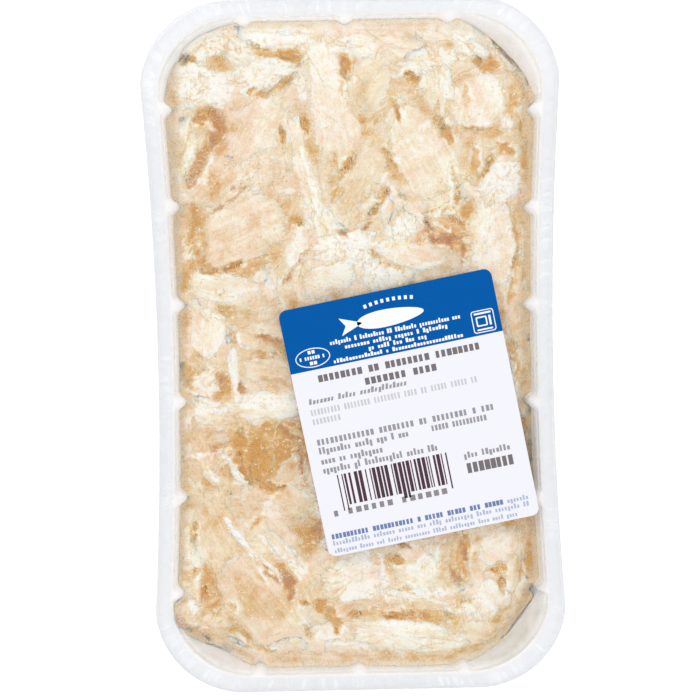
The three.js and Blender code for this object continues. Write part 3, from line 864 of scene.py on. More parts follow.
class Pieces:
    """Meshes of one kind, gathered into one object."""

    def __init__(self):
        self.v, self.q, self.t, self.at, self.n, self.tris = [], [], [], {}, 0, 0

    def add(self, v, quads, tris, **attrs):
        self.v.append(v)
        if quads is not None and len(quads):
            self.q.append(quads + self.n)
            self.tris += 2 * len(quads)
        if tris is not None and len(tris):
            self.t.append(tris + self.n)
            self.tris += len(tris)
        for k, a in attrs.items():
            self.at.setdefault(k, []).append(np.asarray(a, float) if np.ndim(a) else np.full(len(v), float(a)))
        self.n += len(v)

    def build(self, name, material, heap, loose=False, level=True):
        v = np.concatenate(self.v)
        if level and not loose:
            v[:, 2] = heap.levelled(v)
            v[:, 0], v[:, 1] = inside_wall(v[:, 0], v[:, 1], v[:, 2])
        at = {k: np.concatenate(a) for k, a in self.at.items()}
        # cav: the share of sky the heap hides, which the flesh material paints as shade
        at["cav"] = heap.cavity_at(v) * (0.6 if loose else 1.0)
        at["salt"] = at["salt"] + np.maximum(salt_at(v[:, 0], v[:, 1]), heap.gaps.at(heap.gaps.white, v[:, 0], v[:, 1]))
        at["amber"] = heap.gaps.at(heap.gaps.amber, v[:, 0], v[:, 1]) * (0.3 if loose else 1.0)
        at["brown"] = heap.gaps.at(heap.gaps.brown, v[:, 0], v[:, 1]) * (0.3 if loose else 1.0)
        # how far from the wall: the material paints its shade of hollows more strongly away from it
        at["open"] = smooth(8.5, 14.0, inset_of(v[:, 0], v[:, 1])[0])
        at["area"] = area_at(v[:, 0], v[:, 1])
        # painted shade where the heap meets the wall (wall), and where that shade is paler (pale): the tray's ends and
        # the slack corner
        ragged = 0.9 * noise(v[:, 0] / 2.1, v[:, 1] / 2.1, 83) + 0.6 * noise(v[:, 0] / 0.8, v[:, 1] / 0.8, 84)
        wide = 3.2 * np.exp(-(((v[:, 0] + 60) / 12) ** 2) - (((v[:, 1] - 62) / 20) ** 2))
        at["wall"] = (1 - smooth(0.3, 3.4 + wide, wall_room(v[:, 0], v[:, 1], v[:, 2]) + ragged)) * (0.4 if loose else 1.0)
        slackest = np.exp(-(((v[:, 0] - 56) / 10) ** 2) - (((v[:, 1] - 98) / 12) ** 2))
        at["pale"] = np.maximum(np.maximum(smooth(86, 104, v[:, 1]), 0.7 * smooth(-92, -106, v[:, 1])), slackest)
        ob = make_mesh(name, v, tris=np.concatenate(self.t) if self.t else None, quads=np.concatenate(self.q) if self.q else None, attrs=at, material=material, crease_deg=0 if loose else 58)
        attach(ob, "root")
        print(name, "triangles", self.tris)
        return ob


def lay_flake(hm, p, into, rims=None):
    """Lays one flake on the heap, adds its mesh to into and its top to the height map."""
    # dense points for the height map
    nr = int(np.clip(max(p["l"], p["w"]) / 2 / 0.38, 6, 60))
    nf = int(np.clip(np.pi * (p["l"] + p["w"]) / 2 / 0.4, 24, 320))
    rho, phi = np.meshgrid((np.arange(nr) + 0.5) / nr, even_angles(p, nf), indexing="ij")
    la, lb, x, y, rim, end = flake_plan(p, rho, phi)
    i0, i1, j0, j1 = hm.window(x, y)
    local = hm.h[j0:j1, i0:i1]
    soft = hm.blurred(local, 2.6)
    near = hm.blurred(local, 0.8)
    under = hm.sample(local, x, y, i0, j0)
    # a plane that rests on the higher points below
    w = rho.ravel()
    m = np.stack([np.ones(la.size), la.ravel(), lb.ravel()], 1)
    zz = under.ravel()
    keep = np.ones(len(zz), bool)
    for _ in range(3):
        sol = np.linalg.lstsq(m[keep] * w[keep, None], zz[keep] * w[keep], rcond=None)[0]
        sol[1:] = np.clip(sol[1:], -0.3, 0.3)
        res = zz - m @ sol
        keep = res > np.percentile(res, 40)
    plane0 = sol[0] + np.percentile(zz - m @ sol, 62) - p["sink"] - p["drop"]

    def base(la, lb, x, y, rim):
        pl = plane0 + (sol[1] + p["tilt"][0]) * la + (sol[2] + p["tilt"][1]) * lb
        b = pl + p["follow"] * np.clip(hm.sample(soft, x, y, i0, j0) - pl, -2.2, 1.2)
        touch = (1 - 0.35 * p["crisp"]) * np.exp(-rim / 1.6)
        return b + touch * np.clip(hm.sample(near, x, y, i0, j0) + 0.15 - b, -3.0, 0.8)

    rise, ends = flake_rise(p, la, lb, rim, end)
    z = pressed(base(la, lb, x, y, rim) + ends + rise)
    top_h = (*inside_wall(x, y, z), z)

    # the mesh itself
    res = p["res"]
    nf = int(np.clip(np.pi * (p["l"] + p["w"]) / 2 / res, 14, 220))
    nr = int(np.clip((p["l"] + p["w"]) / 4 / res * 1.05, 4, 36))
    phis = even_angles(p, nf)
    ring = 1 - (1 - np.arange(1, nr + 1) / nr) ** 1.3
    low = (0.97, 0.7, 0.35)
    rho = np.concatenate([[0.002], ring, low, [0.002]])[:, None] * np.ones(nf)
    side = np.concatenate([np.ones(nr + 1), -np.ones(len(low) + 1)])[:, None] * np.ones(nf)
    la, lb, x, y, rim, end = flake_plan(p, rho, np.broadcast_to(phis, rho.shape))
    rise, ends = flake_rise(p, la, lb, rim, end)
    b = base(la, lb, x, y, rim) + ends
    top = pressed(b + rise)
    z = np.where(side > 0, top, np.minimum(pressed(b) - 0.2 - 0.25 * p["t"] * (1 - rho**3), top - 0.14))
    x, y = inside_wall(x, y, z)
    v = np.stack([x, y, z], 2)
    edge = np.where(side > 0, np.exp(-rim / 0.7), 1.0)
    fc = np.stack([la, lb, np.full(la.shape, p["seed"] * 7.31)], 2)
    pick = lambda a: np.concatenate([a[:1, 0], a[1:-1].reshape((-1,) + a.shape[2:]), a[-1:, 0]])
    i, j = np.arange(nf), (np.arange(nf) + 1) % nf
    k = nr + len(low)
    quads = np.concatenate([np.stack([1 + r * nf + i, 1 + (r + 1) * nf + i, 1 + (r + 1) * nf + j, 1 + r * nf + j], 1) for r in range(k - 1)])
    last = 1 + (k - 1) * nf
    tris = np.concatenate([np.stack([np.zeros(nf, int), 1 + i, 1 + j], 1), np.stack([last + j, last + i, np.full(nf, 1 + k * nf)], 1)])
    into.add(pick(v), quads, tris, tone=p["tone"], edge=pick(edge), fc=pick(fc), salt=p["salt"])
    hm.stamp(*top_h)
    if rims is not None:
        ex, ey, nx, ny, end = flake_edge(p, phis)
        grain = np.where(np.cos(phis) > 0, 0.0, np.pi)
        out = np.arctan2(ny, nx)
        turn = np.where(end > 0.3, grain, out)
        rims.append(np.stack([v[nr - 1, :, 0], v[nr - 1, :, 1], turn + p["a"], end, np.full(nf, p["tone"]), np.full(nf, p["fray"])], 1))


# ------------------------------------------------------------------ fibres, crumbs and salt
def lay_fibres(hm, rng, into, x, y, turn, length, width, curl, lift, tone, seg=5):
    """Thin tapered fibres draped over the heap, each a closed three-sided tube."""
    n = len(x)
    s = np.linspace(0, 1, seg + 1)
    bend = turn[:, None] + curl[:, None] * (s[None, :] - 0.3) + 0.25 * np.sin(s[None, :] * rng.uniform(3, 7, (n, 1)) + rng.uniform(0, 6, (n, 1)))
    step = length[:, None] / seg
    px = x[:, None] + np.concatenate([np.zeros((n, 1)), np.cumsum(np.cos(bend[:, 1:]) * step, 1)], 1)
    py = y[:, None] + np.concatenate([np.zeros((n, 1)), np.cumsum(np.sin(bend[:, 1:]) * step, 1)], 1)
    pz = hm.sample(hm.h, px, py)
    pz[:, 1:-1] = np.maximum(pz[:, 1:-1], 0.5 * (pz[:, :-2] + pz[:, 2:]))
    pz[:, 1:-1] = 0.5 * pz[:, 1:-1] + 0.25 * (pz[:, :-2] + pz[:, 2:])
    rad = 0.5 * width[:, None] * (1 - 0.75 * np.abs(2 * s - 0.7) ** 2.2 / 1.3**2.2) + 0.015
    pz = pressed(pz - 0.65 * rad + lift[:, None] * np.sin(np.pi * s)[None, :], CAP + 0.1, 0.12)
    px, py = inside_wall(px, py, pz, 0.25)
    dx = np.gradient(px, axis=1)
    dy = np.gradient(py, axis=1)
    k = np.hypot(dx, dy) + 1e-9
    dx, dy = dx / k, dy / k
    rings = []
    for a in (0.5, 0.5 + 2 / 3, 0.5 + 4 / 3):
        ca, sa = math.cos(a * math.pi), math.sin(a * math.pi)
        rings.append(np.stack([px - dy * rad * ca, py + dx * rad * ca, pz + rad * sa], 2))
    v = np.stack(rings, 2)
    per = 3 * (seg + 1)
    base = (np.arange(n) * per)[:, None]
    quads = []
    for r in range(seg):
        for c in range(3):
            d = (c + 1) % 3
            quads.append(np.concatenate([base + r * 3 + c, base + r * 3 + d, base + (r + 1) * 3 + d, base + (r + 1) * 3 + c], 1))
    tris = np.concatenate([np.concatenate([base + 2, base + 1, base], 1), np.concatenate([base + seg * 3, base + seg * 3 + 1, base + seg * 3 + 2], 1)])
    v = v.reshape(-1, 3)
    rep = lambda a: np.repeat(a, per)
    fc = np.stack([np.repeat(s[None, :] * length[:, None], 3, 1).ravel(), rep(rng.uniform(0, 50, n)), rep(rng.uniform(0, 50, n))], 1)
    into.add(v, np.concatenate(quads), tris, tone=rep(tone), edge=0.3, fc=fc, salt=0.0)


def ball(level):
    """A subdivided icosahedron as unit points and triangles."""
    g = (1 + 5**0.5) / 2
    v = [(-1, g, 0), (1, g, 0), (-1, -g, 0), (1, -g, 0), (0, -1, g), (0, 1, g), (0, -1, -g), (0, 1, -g), (g, 0, -1), (g, 0, 1), (-g, 0, -1), (-g, 0, 1)]
    t = [(0, 11, 5), (0, 5, 1), (0, 1, 7), (0, 7, 10), (0, 10, 11), (1, 5, 9), (5, 11, 4), (11, 10, 2), (10, 7, 6), (7, 1, 8)]
    t += [(3, 9, 4), (3, 4, 2), (3, 2, 6), (3, 6, 8), (3, 8, 9), (4, 9, 5), (2, 4, 11), (6, 2, 10), (8, 6, 7), (9, 8, 1)]
    v = [np.array(p) / np.linalg.norm(p) for p in v]
    for _ in range(level):
        mid, new = {}, []

        def half(a, b):
            key = (min(a, b), max(a, b))
            if key not in mid:
                p = v[a] + v[b]
                v.append(p / np.linalg.norm(p))
                mid[key] = len(v) - 1
            return mid[key]

        for a, b, c in t:
            ab, bc, ca = half(a, b), half(b, c), half(c, a)
            new += [(a, ab, ca), (b, bc, ab), (c, ca, bc), (ab, bc, ca)]
        t = new
    return np.array(v), np.array(t)


def lay_lumps(hm, rng, into, x, y, size, tone, level, rough, flat=0.7, salt=0.0, up=0.15):
    """Small irregular lumps lying on the heap."""
    bv, bt = ball(level)
    n, k = len(x), len(bv)
    turn = rng.uniform(0, 2 * np.pi, n)
    sx = size * rng.uniform(0.8, 1.5, n)
    sy = size * rng.uniform(0.6, 1.0, n)
    sz = size * flat * rng.uniform(0.7, 1.1, n)
    off = rng.uniform(0, 99, n)
    d = 1 + rough * noise(bv[None, :, 0] * 1.7 + off[:, None], bv[None, :, 1] * 1.7 + 2.3 * bv[None, :, 2] + off[:, None], 31)
    d = d + 0.5 * rough * noise(bv[None, :, 0] * 4.1 + off[:, None], bv[None, :, 1] * 4.1 + 3.1 * bv[None, :, 2], 32)
    c, s = np.cos(turn)[:, None], np.sin(turn)[:, None]
    ox, oy = bv[None, :, 0] * d * sx[:, None] / 2, bv[None, :, 1] * d * sy[:, None] / 2
    oz = bv[None, :, 2] * d * sz[:, None] / 2
    px, py = x[:, None] + ox * c - oy * s, y[:, None] + ox * s + oy * c
    z0 = hm.sample(hm.h, x, y)[:, None] + up * sz[:, None]
    pz = pressed(z0 + oz, CAP + 0.15, 0.08)
    px, py = inside_wall(px, py, pz, 0.25)
    v = np.stack([px, py, pz], 2).reshape(-1, 3)
    tris = (bt[None] + (np.arange(n) * k)[:, None, None]).reshape(-1, 3)
    fc = np.stack([ox.ravel(), oy.ravel(), np.repeat(off, k)], 1)
    into.add(v, None, tris, tone=np.repeat(tone, k), edge=0.2, fc=fc, salt=salt)


# ------------------------------------------------------------------ where things lie
def from_picture(px, py, z=32.0):
    """A place named in picture pixels, in tray mm, for a point at height z."""
    dx, dy = (px - 355.3) / 3.093, -(py - 349.5) / 3.093
    c, s = math.cos(math.radians(1.2)), math.sin(math.radians(1.2))
    x, y = dx * c + dy * s, -dx * s + dy * c
    k = (36.0 - z) / 661.0
    return x * (1 + k), y - (65.0 - y) * k


SALTY = ((504, 182, 20, 18, 0.75), (430, 572, 18, 12, 0.4), (352, 250, 30, 15, 1.0), (378, 276, 14, 16, 1.0), (405, 229, 12, 10, 0.9), (207, 88, 26, 16, 0.75), (345, 47, 10, 8, 0.8), (270, 402, 30, 9, 0.35), (205, 48, 18, 16, 0.4))


def salt_at(x, y):
    """Where the pack shows chalky white flesh and salt."""
    out = np.zeros_like(x)
    for px, py, rx, ry, s in SALTY:
        cx, cy = from_picture(px, py)
        q = np.hypot((x - cx) * 3.093 / rx, (y - cy) * 3.093 / ry)
        out = np.maximum(out, s * (1 - smooth(0.6, 1.25, q + 0.35 * noise(x / 2.3, y / 2.3, 77))))
    return out


# broad fields of paler or darker flesh: x, y, half width, half height, tone
AREAS = (
    (300, 42, 120, 36, -0.2), (470, 60, 60, 30, -0.07), (350, 250, 70, 40, -0.1), (200, 130, 30, 50, 0.12), (265, 612, 36, 36, 0.1), (265, 460, 40, 45, 0.08),
    (245, 160, 40, 30, -0.06), (460, 150, 60, 60, -0.03), (195, 400, 22, 60, -0.03), (370, 590, 40, 25, -0.06), (205, 500, 30, 30, 0.08),
    (500, 50, 34, 28, -0.45), (500, 95, 24, 30, -0.12), (500, 212, 24, 34, -0.25), (375, 618, 60, 22, -0.2), (240, 530, 24, 20, 0.14), (285, 490, 24, 22, 0.14),
    (458, 222, 26, 20, 0.22), (452, 146, 22, 34, 0.14), (215, 90, 36, 24, -0.22), (508, 272, 20, 18, 0.12), (375, 270, 50, 18, -0.25), (185, 262, 16, 24, 0.12), (330, 648, 110, 22, -0.22), (450, 655, 30, 14, -0.1), (352, 163, 24, 24, 0.2), (310, 163, 20, 24, 0.06), (286, 602, 40, 22, 0.14), (180, 150, 16, 60, -0.2), (264, 180, 26, 34, -0.1), (308, 118, 22, 22, -0.18), (286, 252, 36, 20, -0.08), (215, 360, 24, 34, -0.14), (180, 570, 16, 40, -0.14), (484, 602, 20, 24, -0.1), (245, 300, 30, 20, -0.08), (225, 516, 20, 16, 0.14), (315, 602, 24, 18, 0.12), (200, 270, 20, 20, 0.12),
)


def area_at(x, y):
    out = np.zeros_like(x)
    for px, py, rx, ry, s in AREAS:
        cx, cy = from_picture(px, py)
        out = out + s * np.exp(-(((x - cx) * 3.093 / rx) ** 2) - ((y - cy) * 3.093 / ry) ** 2)
    return out


# px, py, length, width, angle, thickness, tone (-1 white, 0 cream, 1 brown), and what else sets it apart
LOW = [
    (277, 56, 24, 9, 0, 3.0, 0.95, {"drop": 1.0}),
    (485, 66, 15, 11, 20, 3.5, 0.8, {"rough": 0.0}),
    (512, 105, 22, 8, 85, 3.0, 0.8, {}),
    (356, 72, 16, 8, 80, 3.0, 0.8, {}),
    (269, 452, 30, 24, 10, 3.0, 0.95, {"drop": 0.5}),
    (262, 470, 14, 8, 70, 2.5, 1.0, {}),
    (461, 557, 18, 8, 80, 3.0, 0.8, {}),
    (335, 617, 15, 12, 40, 3.5, 0.75, {}),
    (407, 617, 26, 8, -5, 3.0, 0.85, {}),
    (499, 579, 12, 9, 60, 3.0, 0.85, {}),
    (248, 358, 26, 12, 0, 3.0, 0.75, {}),
    (232, 270, 26, 10, 20, 3.0, 0.9, {"drop": 0.6}),
    (476, 161, 18, 8, 75, 3.0, 0.75, {}),
    (527, 380, 24, 8, 88, 3.0, 0.7, {}),
    (186, 395, 26, 9, 88, 3.0, 0.65, {}),
    (349, 178, 20, 7, 60, 3.0, 0.8, {}),
    (285, 220, 16, 12, 70, 3.0, 0.7, {}),
    (450, 70, 20, 9, 30, 3.0, 0.7, {}),
    (395, 100, 24, 12, 60, 3.0, 0.7, {}),
    (300, 620, 18, 12, 30, 3.0, 0.75, {}),
    (470, 640, 20, 10, 10, 3.0, 0.6, {}),
]
MAIN = [
    # upper left
    (203, 42, 19, 15, 20, 4.8, -0.3, {"rough": 1.0, "square": 2.2}),
    (277, 38, 26, 7.5, -2, 2.6, -0.15, {"taper": -0.15, "fray": 0.3, "bend": 0.06}),
    (290, 31, 9, 5, 10, 2.0, -0.3, {"rough": 0.7}),
    (243, 62, 14, 7, -35, 2.4, -0.2, {"layer": 1.0, "rough": 0.4}),
    (256, 137, 27, 17, 62, 3.2, 0.06, {"layer": 0.6, "taper": 0.1}),
    (262, 172, 15, 12, 30, 2.6, 0.1, {"rough": 0.6}),
    (211, 128, 12, 13, 60, 3.0, 0.5, {"rough": 0.25, "fray": 0.8}),
    (198, 162, 17, 6, 62, 2.6, 0.8, {"layer": 1.0}),
    (189, 156, 15, 4.5, 72, 2.6, -0.1, {"drop": 0.5}),
    (186, 190, 12, 8, 70, 2.6, 0.55, {}),
    (215, 182, 20, 12, 40, 2.8, 0.45, {"layer": 0.8}),
    (205, 87, 24, 13.5, -22, 4.0, -0.75, {"rough": 0.55, "taper": -0.2, "fray": 0.8}),
    (266, 76, 23, 9.5, 12, 2.8, -0.55, {"layer": 1.0, "taper": -0.35, "fray": 0.9}),
    # middle top
    (332, 104, 43, 15, 100.5, 3.4, -0.2, {"taper": -0.28, "layer": 0.5, "fray": 0.6, "bend": 0.03}),
    (345, 46, 7.5, 6, 20, 3.6, -0.6, {"rough": 0.3}),
    (389, 50, 32, 14, -22, 2.8, 0.05, {"layer": 0.9, "fray": 0.9, "taper": -0.15}),
    (369, 84, 20, 13, 60, 2.8, 0.2, {"layer": 0.7}),
    (427, 63, 20, 9, 12, 2.6, -0.3, {"rough": 0.35, "fray": 0.9}),
    (438, 92, 16, 12, -70, 3.2, -0.25, {"layer": 0.6}),
    (477, 103, 20, 18.5, 70, 3.8, -0.2, {"square": 2.3, "fray": 0.25, "cup": -0.6}),
    (461, 44, 12, 4.5, -52, 2.2, -0.4, {}),
    (478, 52, 9, 3.8, -38, 2.0, -0.45, {}),
    (392, 120, 16, 3.8, 62, 2.2, 0.35, {"curl": 0.8}),
    (370, 163, 28, 10.5, 61, 2.8, 0.12, {"taper": -0.2, "fray": 0.8}),
    (421, 151, 34, 19, -62, 3.4, -0.12, {"taper": 0.3, "fray": 0.35, "square": 2.4}),
    (305, 172, 37, 7.5, -72, 2.8, -0.1, {"bend": 0.05, "taper": -0.2, "fray": 0.7}),
    (285, 150, 14, 5, -75, 2.2, 0.4, {}),
    # left middle
    (241, 232, 31, 20, 27, 3.4, 0.16, {"square": 2.6, "fray": 0.3, "layer": 0.4}),
    (197, 240, 10, 8, 60, 2.6, 0.75, {"rough": 0.8}),
    (297, 250, 19, 8.5, 62, 2.6, 0.0, {}),
    (345, 247, 21, 10, 8, 3.0, -0.75, {"rough": 0.3, "fray": 0.7}),
    (376, 277, 12, 8.5, -60, 2.6, -0.85, {"fray": 0.3}),
    (330, 280, 18, 11, 20, 2.4, 0.05, {"rough": 0.4}),
    (404, 230, 11, 8.5, 70, 2.6, -0.8, {"rough": 0.6}),
    (411, 254, 25, 9, -13, 2.8, 0.1, {"fray": 0.3, "bend": -0.05}),
    (450, 236, 15, 12, -20, 2.6, 0.85, {"layer": 1.4, "rough": 0.55, "fray": 1.0}),
    # right
    (500, 182, 18, 12, 52, 3.0, -0.5, {"fray": 0.8, "rough": 0.8}),
    (493, 243, 31, 16, -82, 3.0, -0.2, {"layer": 0.5}),
    (474, 160, 15, 5, 76, 2.4, 0.4, {}),
    (503, 146, 12, 8, 20, 3.0, 0.5, {"rough": 1.0, "fray": 1.0}),
    (506, 124, 4.5, 4.0, 0, 2.4, -0.5, {"rough": 0.5}),
    (518, 300, 30, 8, 86, 2.6, 0.3, {}),
    (517, 378, 18, 5, 88, 2.6, -0.05, {}),
    # left lower
    (223, 288, 25, 10, -8, 3.0, -0.3, {"fray": 0.5, "bend": 0.05}),
    (256, 312, 17, 12, 30, 3.0, 0.35, {"rough": 1.0, "fray": 1.0}),
    (205, 333, 18, 14, 80, 3.4, -0.25, {"fray": 0.4}),
    (258, 340, 18, 7, -15, 2.4, 0.55, {"layer": 1.2}),
    (270, 372, 18, 9, -10, 2.6, 0.2, {"layer": 0.7}),
    (201, 388, 13, 10, 40, 3.0, -0.2, {"rough": 0.7}),
    (262, 406, 29, 9, 1, 2.8, -0.35, {"fray": 0.6, "rough": 0.15}),
    (210, 414, 17, 9, -20, 2.8, -0.25, {"rough": 0.7, "fray": 0.8}),
    (234, 379, 20, 4.2, -86, 2.4, -0.6, {"fray": 0.4}),
    (203, 466, 20, 12, -65, 2.8, 0.45, {"rough": 0.5}),
    (212, 480, 8, 3.5, -40, 2.2, -0.1, {}),
    (238, 478, 8, 3.5, -40, 2.0, -0.2, {}),
    (292, 474, 11, 9, 30, 2.6, 0.2, {"rough": 0.3}),
    (282, 500, 24, 10, -20, 2.6, 0.15, {"layer": 1.0, "fray": 0.8}),
    # bottom
    (234, 560, 46, 21, -64, 3.2, 0.3, {"fray": 0.3, "layer": 0.3, "taper": 0.1}),
    (262, 608, 36, 22, -52, 3.4, 0.24, {"fray": 0.35, "layer": 0.35, "square": 2.6}),
    (272, 536, 27, 13, -50, 2.8, 0.02, {"fray": 0.7, "layer": 0.8}),
    (254, 553, 27, 3.8, -44, 2.2, -0.05, {"bend": 0.04}),
    (285, 556, 20, 4.5, -48, 2.2, -0.15, {}),
    (184, 600, 15, 13, 80, 4.0, -0.1, {"rough": 1.1, "fray": 0.8, "drop": -1.5}),
    (203, 629, 18, 9, -8, 3.2, 0.1, {"rough": 0.7, "fray": 0.7, "drop": -0.8}),
    (181, 618, 12, 10, 20, 4.5, 0.15, {"rough": 1.5, "drop": -2.5, "fray": 1.0}),
    (310, 585, 20, 12, -55, 2.8, 0.35, {"layer": 0.9}),
    (316, 606, 13, 8, -70, 2.6, 0.35, {}),
    (357, 583, 22, 16, 15, 3.8, -0.4, {"square": 2.3, "rough": 0.25, "fray": 0.8}),
    (417, 574, 21, 14, -48, 3.2, 0.0, {"fray": 0.9, "rough": 0.3}),
    (421, 603, 25, 4.2, -12, 2.2, -0.4, {"fray": 0.5, "rough": 0.2}),
    (403, 643, 35, 12, -5, 3.2, -0.05, {"fray": 0.7, "bend": -0.08}),
    (463, 614, 12, 5, 8, 2.2, 0.05, {"rough": 0.9}),
    (502, 549, 17, 11, 30, 3.2, -0.1, {"fray": 0.4}),
    (492, 606, 16, 12, 60, 3.0, -0.2, {"fray": 0.5}),
    (515, 578, 12, 5, 80, 2.6, -0.1, {}),
    (484, 640, 16, 8, -12, 2.6, 0.1, {"layer": 0.8}),
    (328, 645, 17, 11, 0, 2.8, 0.12, {"layer": 0.8}),
    (352, 655, 18, 6, -8, 2.2, 0.05, {"rough": 0.4}),
    (285, 655, 14, 7, 10, 2.4, 0.05, {"rough": 0.5}),
    (445, 655, 18, 6, 6, 2.2, 0.1, {"rough": 0.3}),
    (505, 640, 9, 6, 40, 2.2, 0.1, {"rough": 0.4}),
]


# Gaps and darker flesh, in picture pixels: x, y to x, y, width, strength, kind (0 amber gap, its own amber with painted
# shade of the gap, 1 brown flesh, 2 soft tan)
GAPS = (
    # upper left
    (250, 46, 276, 58, 6, 0.75, 0), (276, 58, 300, 60, 9, 0.85, 0), (298, 52, 299, 68, 6, 0.7, 0),
    (181, 62, 196, 62, 9, 0.7, 0), (249, 93, 270, 96, 6, 0.75, 0), (272, 94, 297, 75, 4.5, 0.75, 0),
    (344, 60, 346, 82, 9, 0.8, 0), (340, 84, 343, 96, 4, 0.5, 0), (197, 122, 210, 113, 11, 1.0, 0),
    (216, 115, 222, 130, 13, 1.0, 1), (220, 130, 214, 145, 10, 0.9, 1), (208, 150, 190, 185, 11, 0.6, 1), (283, 127, 284, 145, 5, 0.9, 0),
    (303, 118, 309, 133, 6, 0.95, 0), (355, 156, 342, 172, 6, 1.0, 0), (213, 170, 217, 200, 7, 0.5, 2),
    (233, 188, 246, 190, 5, 0.95, 1), (243, 193, 214, 212, 3, 0.8, 1), (196, 205, 194, 225, 7, 0.6, 2),
    (189, 232, 193, 252, 4, 0.7, 0), (203, 232, 206, 250, 4, 0.7, 0), (190, 262, 205, 272, 6, 0.7, 0), (205, 272, 226, 270, 6, 0.9, 0),
    (224, 271, 242, 262, 6, 1.0, 0), (290, 219, 303, 224, 5, 0.9, 0), (305, 233, 316, 241, 8, 0.6, 2), (307, 250, 283, 286, 2.2, 0.9, 1),
    (340, 230, 345, 234, 5, 1.0, 1), (262, 298, 278, 312, 12, 0.45, 2), (222, 311, 234, 314, 6, 0.7, 0), (240, 235, 280, 200, 10, 0.22, 2),
    (230, 130, 262, 112, 12, 0.25, 2), (262, 150, 280, 180, 7, 0.4, 2),
    # upper right
    (403, 77, 418, 81, 6, 0.95, 0), (392, 102, 401, 122, 5.5, 0.85, 0), (438, 120, 449, 140, 8, 0.9, 0), (447, 133, 451, 143, 6, 1.0, 0),
    (478, 62, 495, 66, 15, 0.6, 0), (512, 88, 509, 118, 9, 0.5, 0), (464, 86, 466, 118, 3.5, 0.5, 0), (449, 129, 500, 130, 3.2, 0.85, 0),
    (384, 150, 396, 172, 5, 0.8, 0), (452, 165, 457, 190, 4, 0.8, 0), (457, 190, 455, 207, 5, 0.85, 0), (453, 209, 427, 211, 3, 0.8, 0),
    (474, 150, 476, 180, 7, 0.5, 0), (491, 156, 482, 180, 5, 1.0, 0), (498, 146, 512, 154, 7, 0.8, 0), (388, 190, 371, 214, 5, 0.95, 0), (397, 192, 404, 201, 3, 0.8, 0),
    (371, 215, 362, 230, 3.5, 0.95, 1), (426, 219, 431, 237, 4.5, 1.0, 1), (431, 240, 461, 237, 7, 1.0, 1), (441, 215, 466, 225, 4, 0.85, 1),
    (462, 240, 463, 263, 3, 1.0, 1), (371, 250, 383, 264, 4, 0.7, 0), (383, 264, 402, 269, 4, 0.6, 0), (440, 270, 452, 262, 6, 0.5, 2),
    (513, 218, 518, 245, 5, 0.6, 0), (518, 245, 510, 300, 5, 0.65, 0), (511, 338, 518, 365, 6, 0.65, 0), (518, 365, 521, 390, 5, 0.55, 0), (526, 430, 534, 500, 4, 0.6, 0),
    (496, 200, 500, 240, 10, 0.3, 2),
    # left middle
    (245, 312, 262, 322, 11, 0.45, 2), (276, 312, 286, 330, 7, 0.6, 2), (258, 336, 281, 343, 4.5, 1.0, 1), (228, 328, 237, 346, 4, 0.7, 0),
    (192, 350, 202, 362, 8, 0.5, 0), (183, 366, 190, 388, 8, 0.65, 0), (190, 374, 206, 371, 4, 0.6, 0), (217, 374, 224, 389, 5, 0.95, 1), (240, 384, 243, 394, 4.5, 0.95, 1),
    (262, 348, 274, 372, 14, 0.4, 2), (262, 378, 285, 386, 8, 0.55, 2),
    (240, 428, 238, 460, 10, 1.0, 0), (238, 455, 250, 482, 12, 1.0, 0), (250, 482, 282, 490, 8, 1.0, 0), (256, 445, 262, 478, 22, 0.85, 0), (278, 440, 292, 470, 20, 0.5, 2),
    (278, 428, 298, 441, 5, 0.9, 1), (298, 441, 302, 472, 4, 0.9, 1), (185, 442, 200, 430, 9, 0.45, 2), (212, 430, 236, 441, 5, 0.5, 2), (213, 452, 223, 446, 6, 0.5, 1),
    (200, 470, 212, 490, 10, 0.4, 2), (224, 468, 232, 482, 5, 0.6, 0),
    # lower left
    (250, 530, 262, 519, 4.5, 0.7, 0), (194, 524, 191, 548, 4, 0.7, 0), (318, 524, 319, 541, 7, 0.85, 1), (262, 570, 281, 586, 2.6, 0.95, 1),
    (281, 574, 292, 586, 8, 0.8, 1), (288, 588, 291, 601, 5, 0.85, 1), (191, 580, 195, 572, 4, 0.8, 0), (203, 589, 206, 602, 6, 1.0, 0), (212, 604, 217, 612, 3, 0.6, 0),
    (300, 603, 307, 606, 6, 0.9, 0), (256, 574, 263, 583, 4, 0.5, 0), (229, 607, 232, 610, 8, 0.5, 0), (176, 617, 183, 628, 6, 0.65, 1), (186, 628, 196, 632, 4, 0.6, 0), (245, 651, 275, 657, 3.5, 0.6, 0),
    (318, 606, 330, 616, 12, 0.75, 0), (330, 616, 337, 635, 11, 0.75, 0), (302, 627, 310, 641, 3.5, 0.7, 0), (352, 618, 363, 621, 6, 0.9, 0), (225, 560, 250, 600, 24, 0.2, 2),
    # lower right
    (389, 562, 401, 563, 8, 0.8, 0), (398, 544, 412, 550, 5, 0.95, 1), (462, 540, 466, 560, 6, 0.8, 1), (468, 534, 468, 560, 4.5, 1.0, 0), (454, 574, 461, 586, 5, 0.8, 1),
    (467, 574, 463, 590, 3.5, 0.7, 0), (493, 572, 506, 574, 6, 1.0, 0), (502, 580, 506, 598, 5, 0.95, 0), (382, 616, 388, 622, 5, 0.9, 0), (388, 620, 413, 617, 6, 1.0, 0),
    (420, 617, 437, 625, 3.5, 0.95, 0), (447, 617, 455, 622, 4, 0.8, 0), (461, 606, 476, 603, 3.5, 0.7, 0), (400, 592, 416, 596, 3.5, 0.5, 0), (462, 635, 492, 641, 5, 0.5, 2),
    (515, 545, 520, 575, 6, 0.4, 2),
)


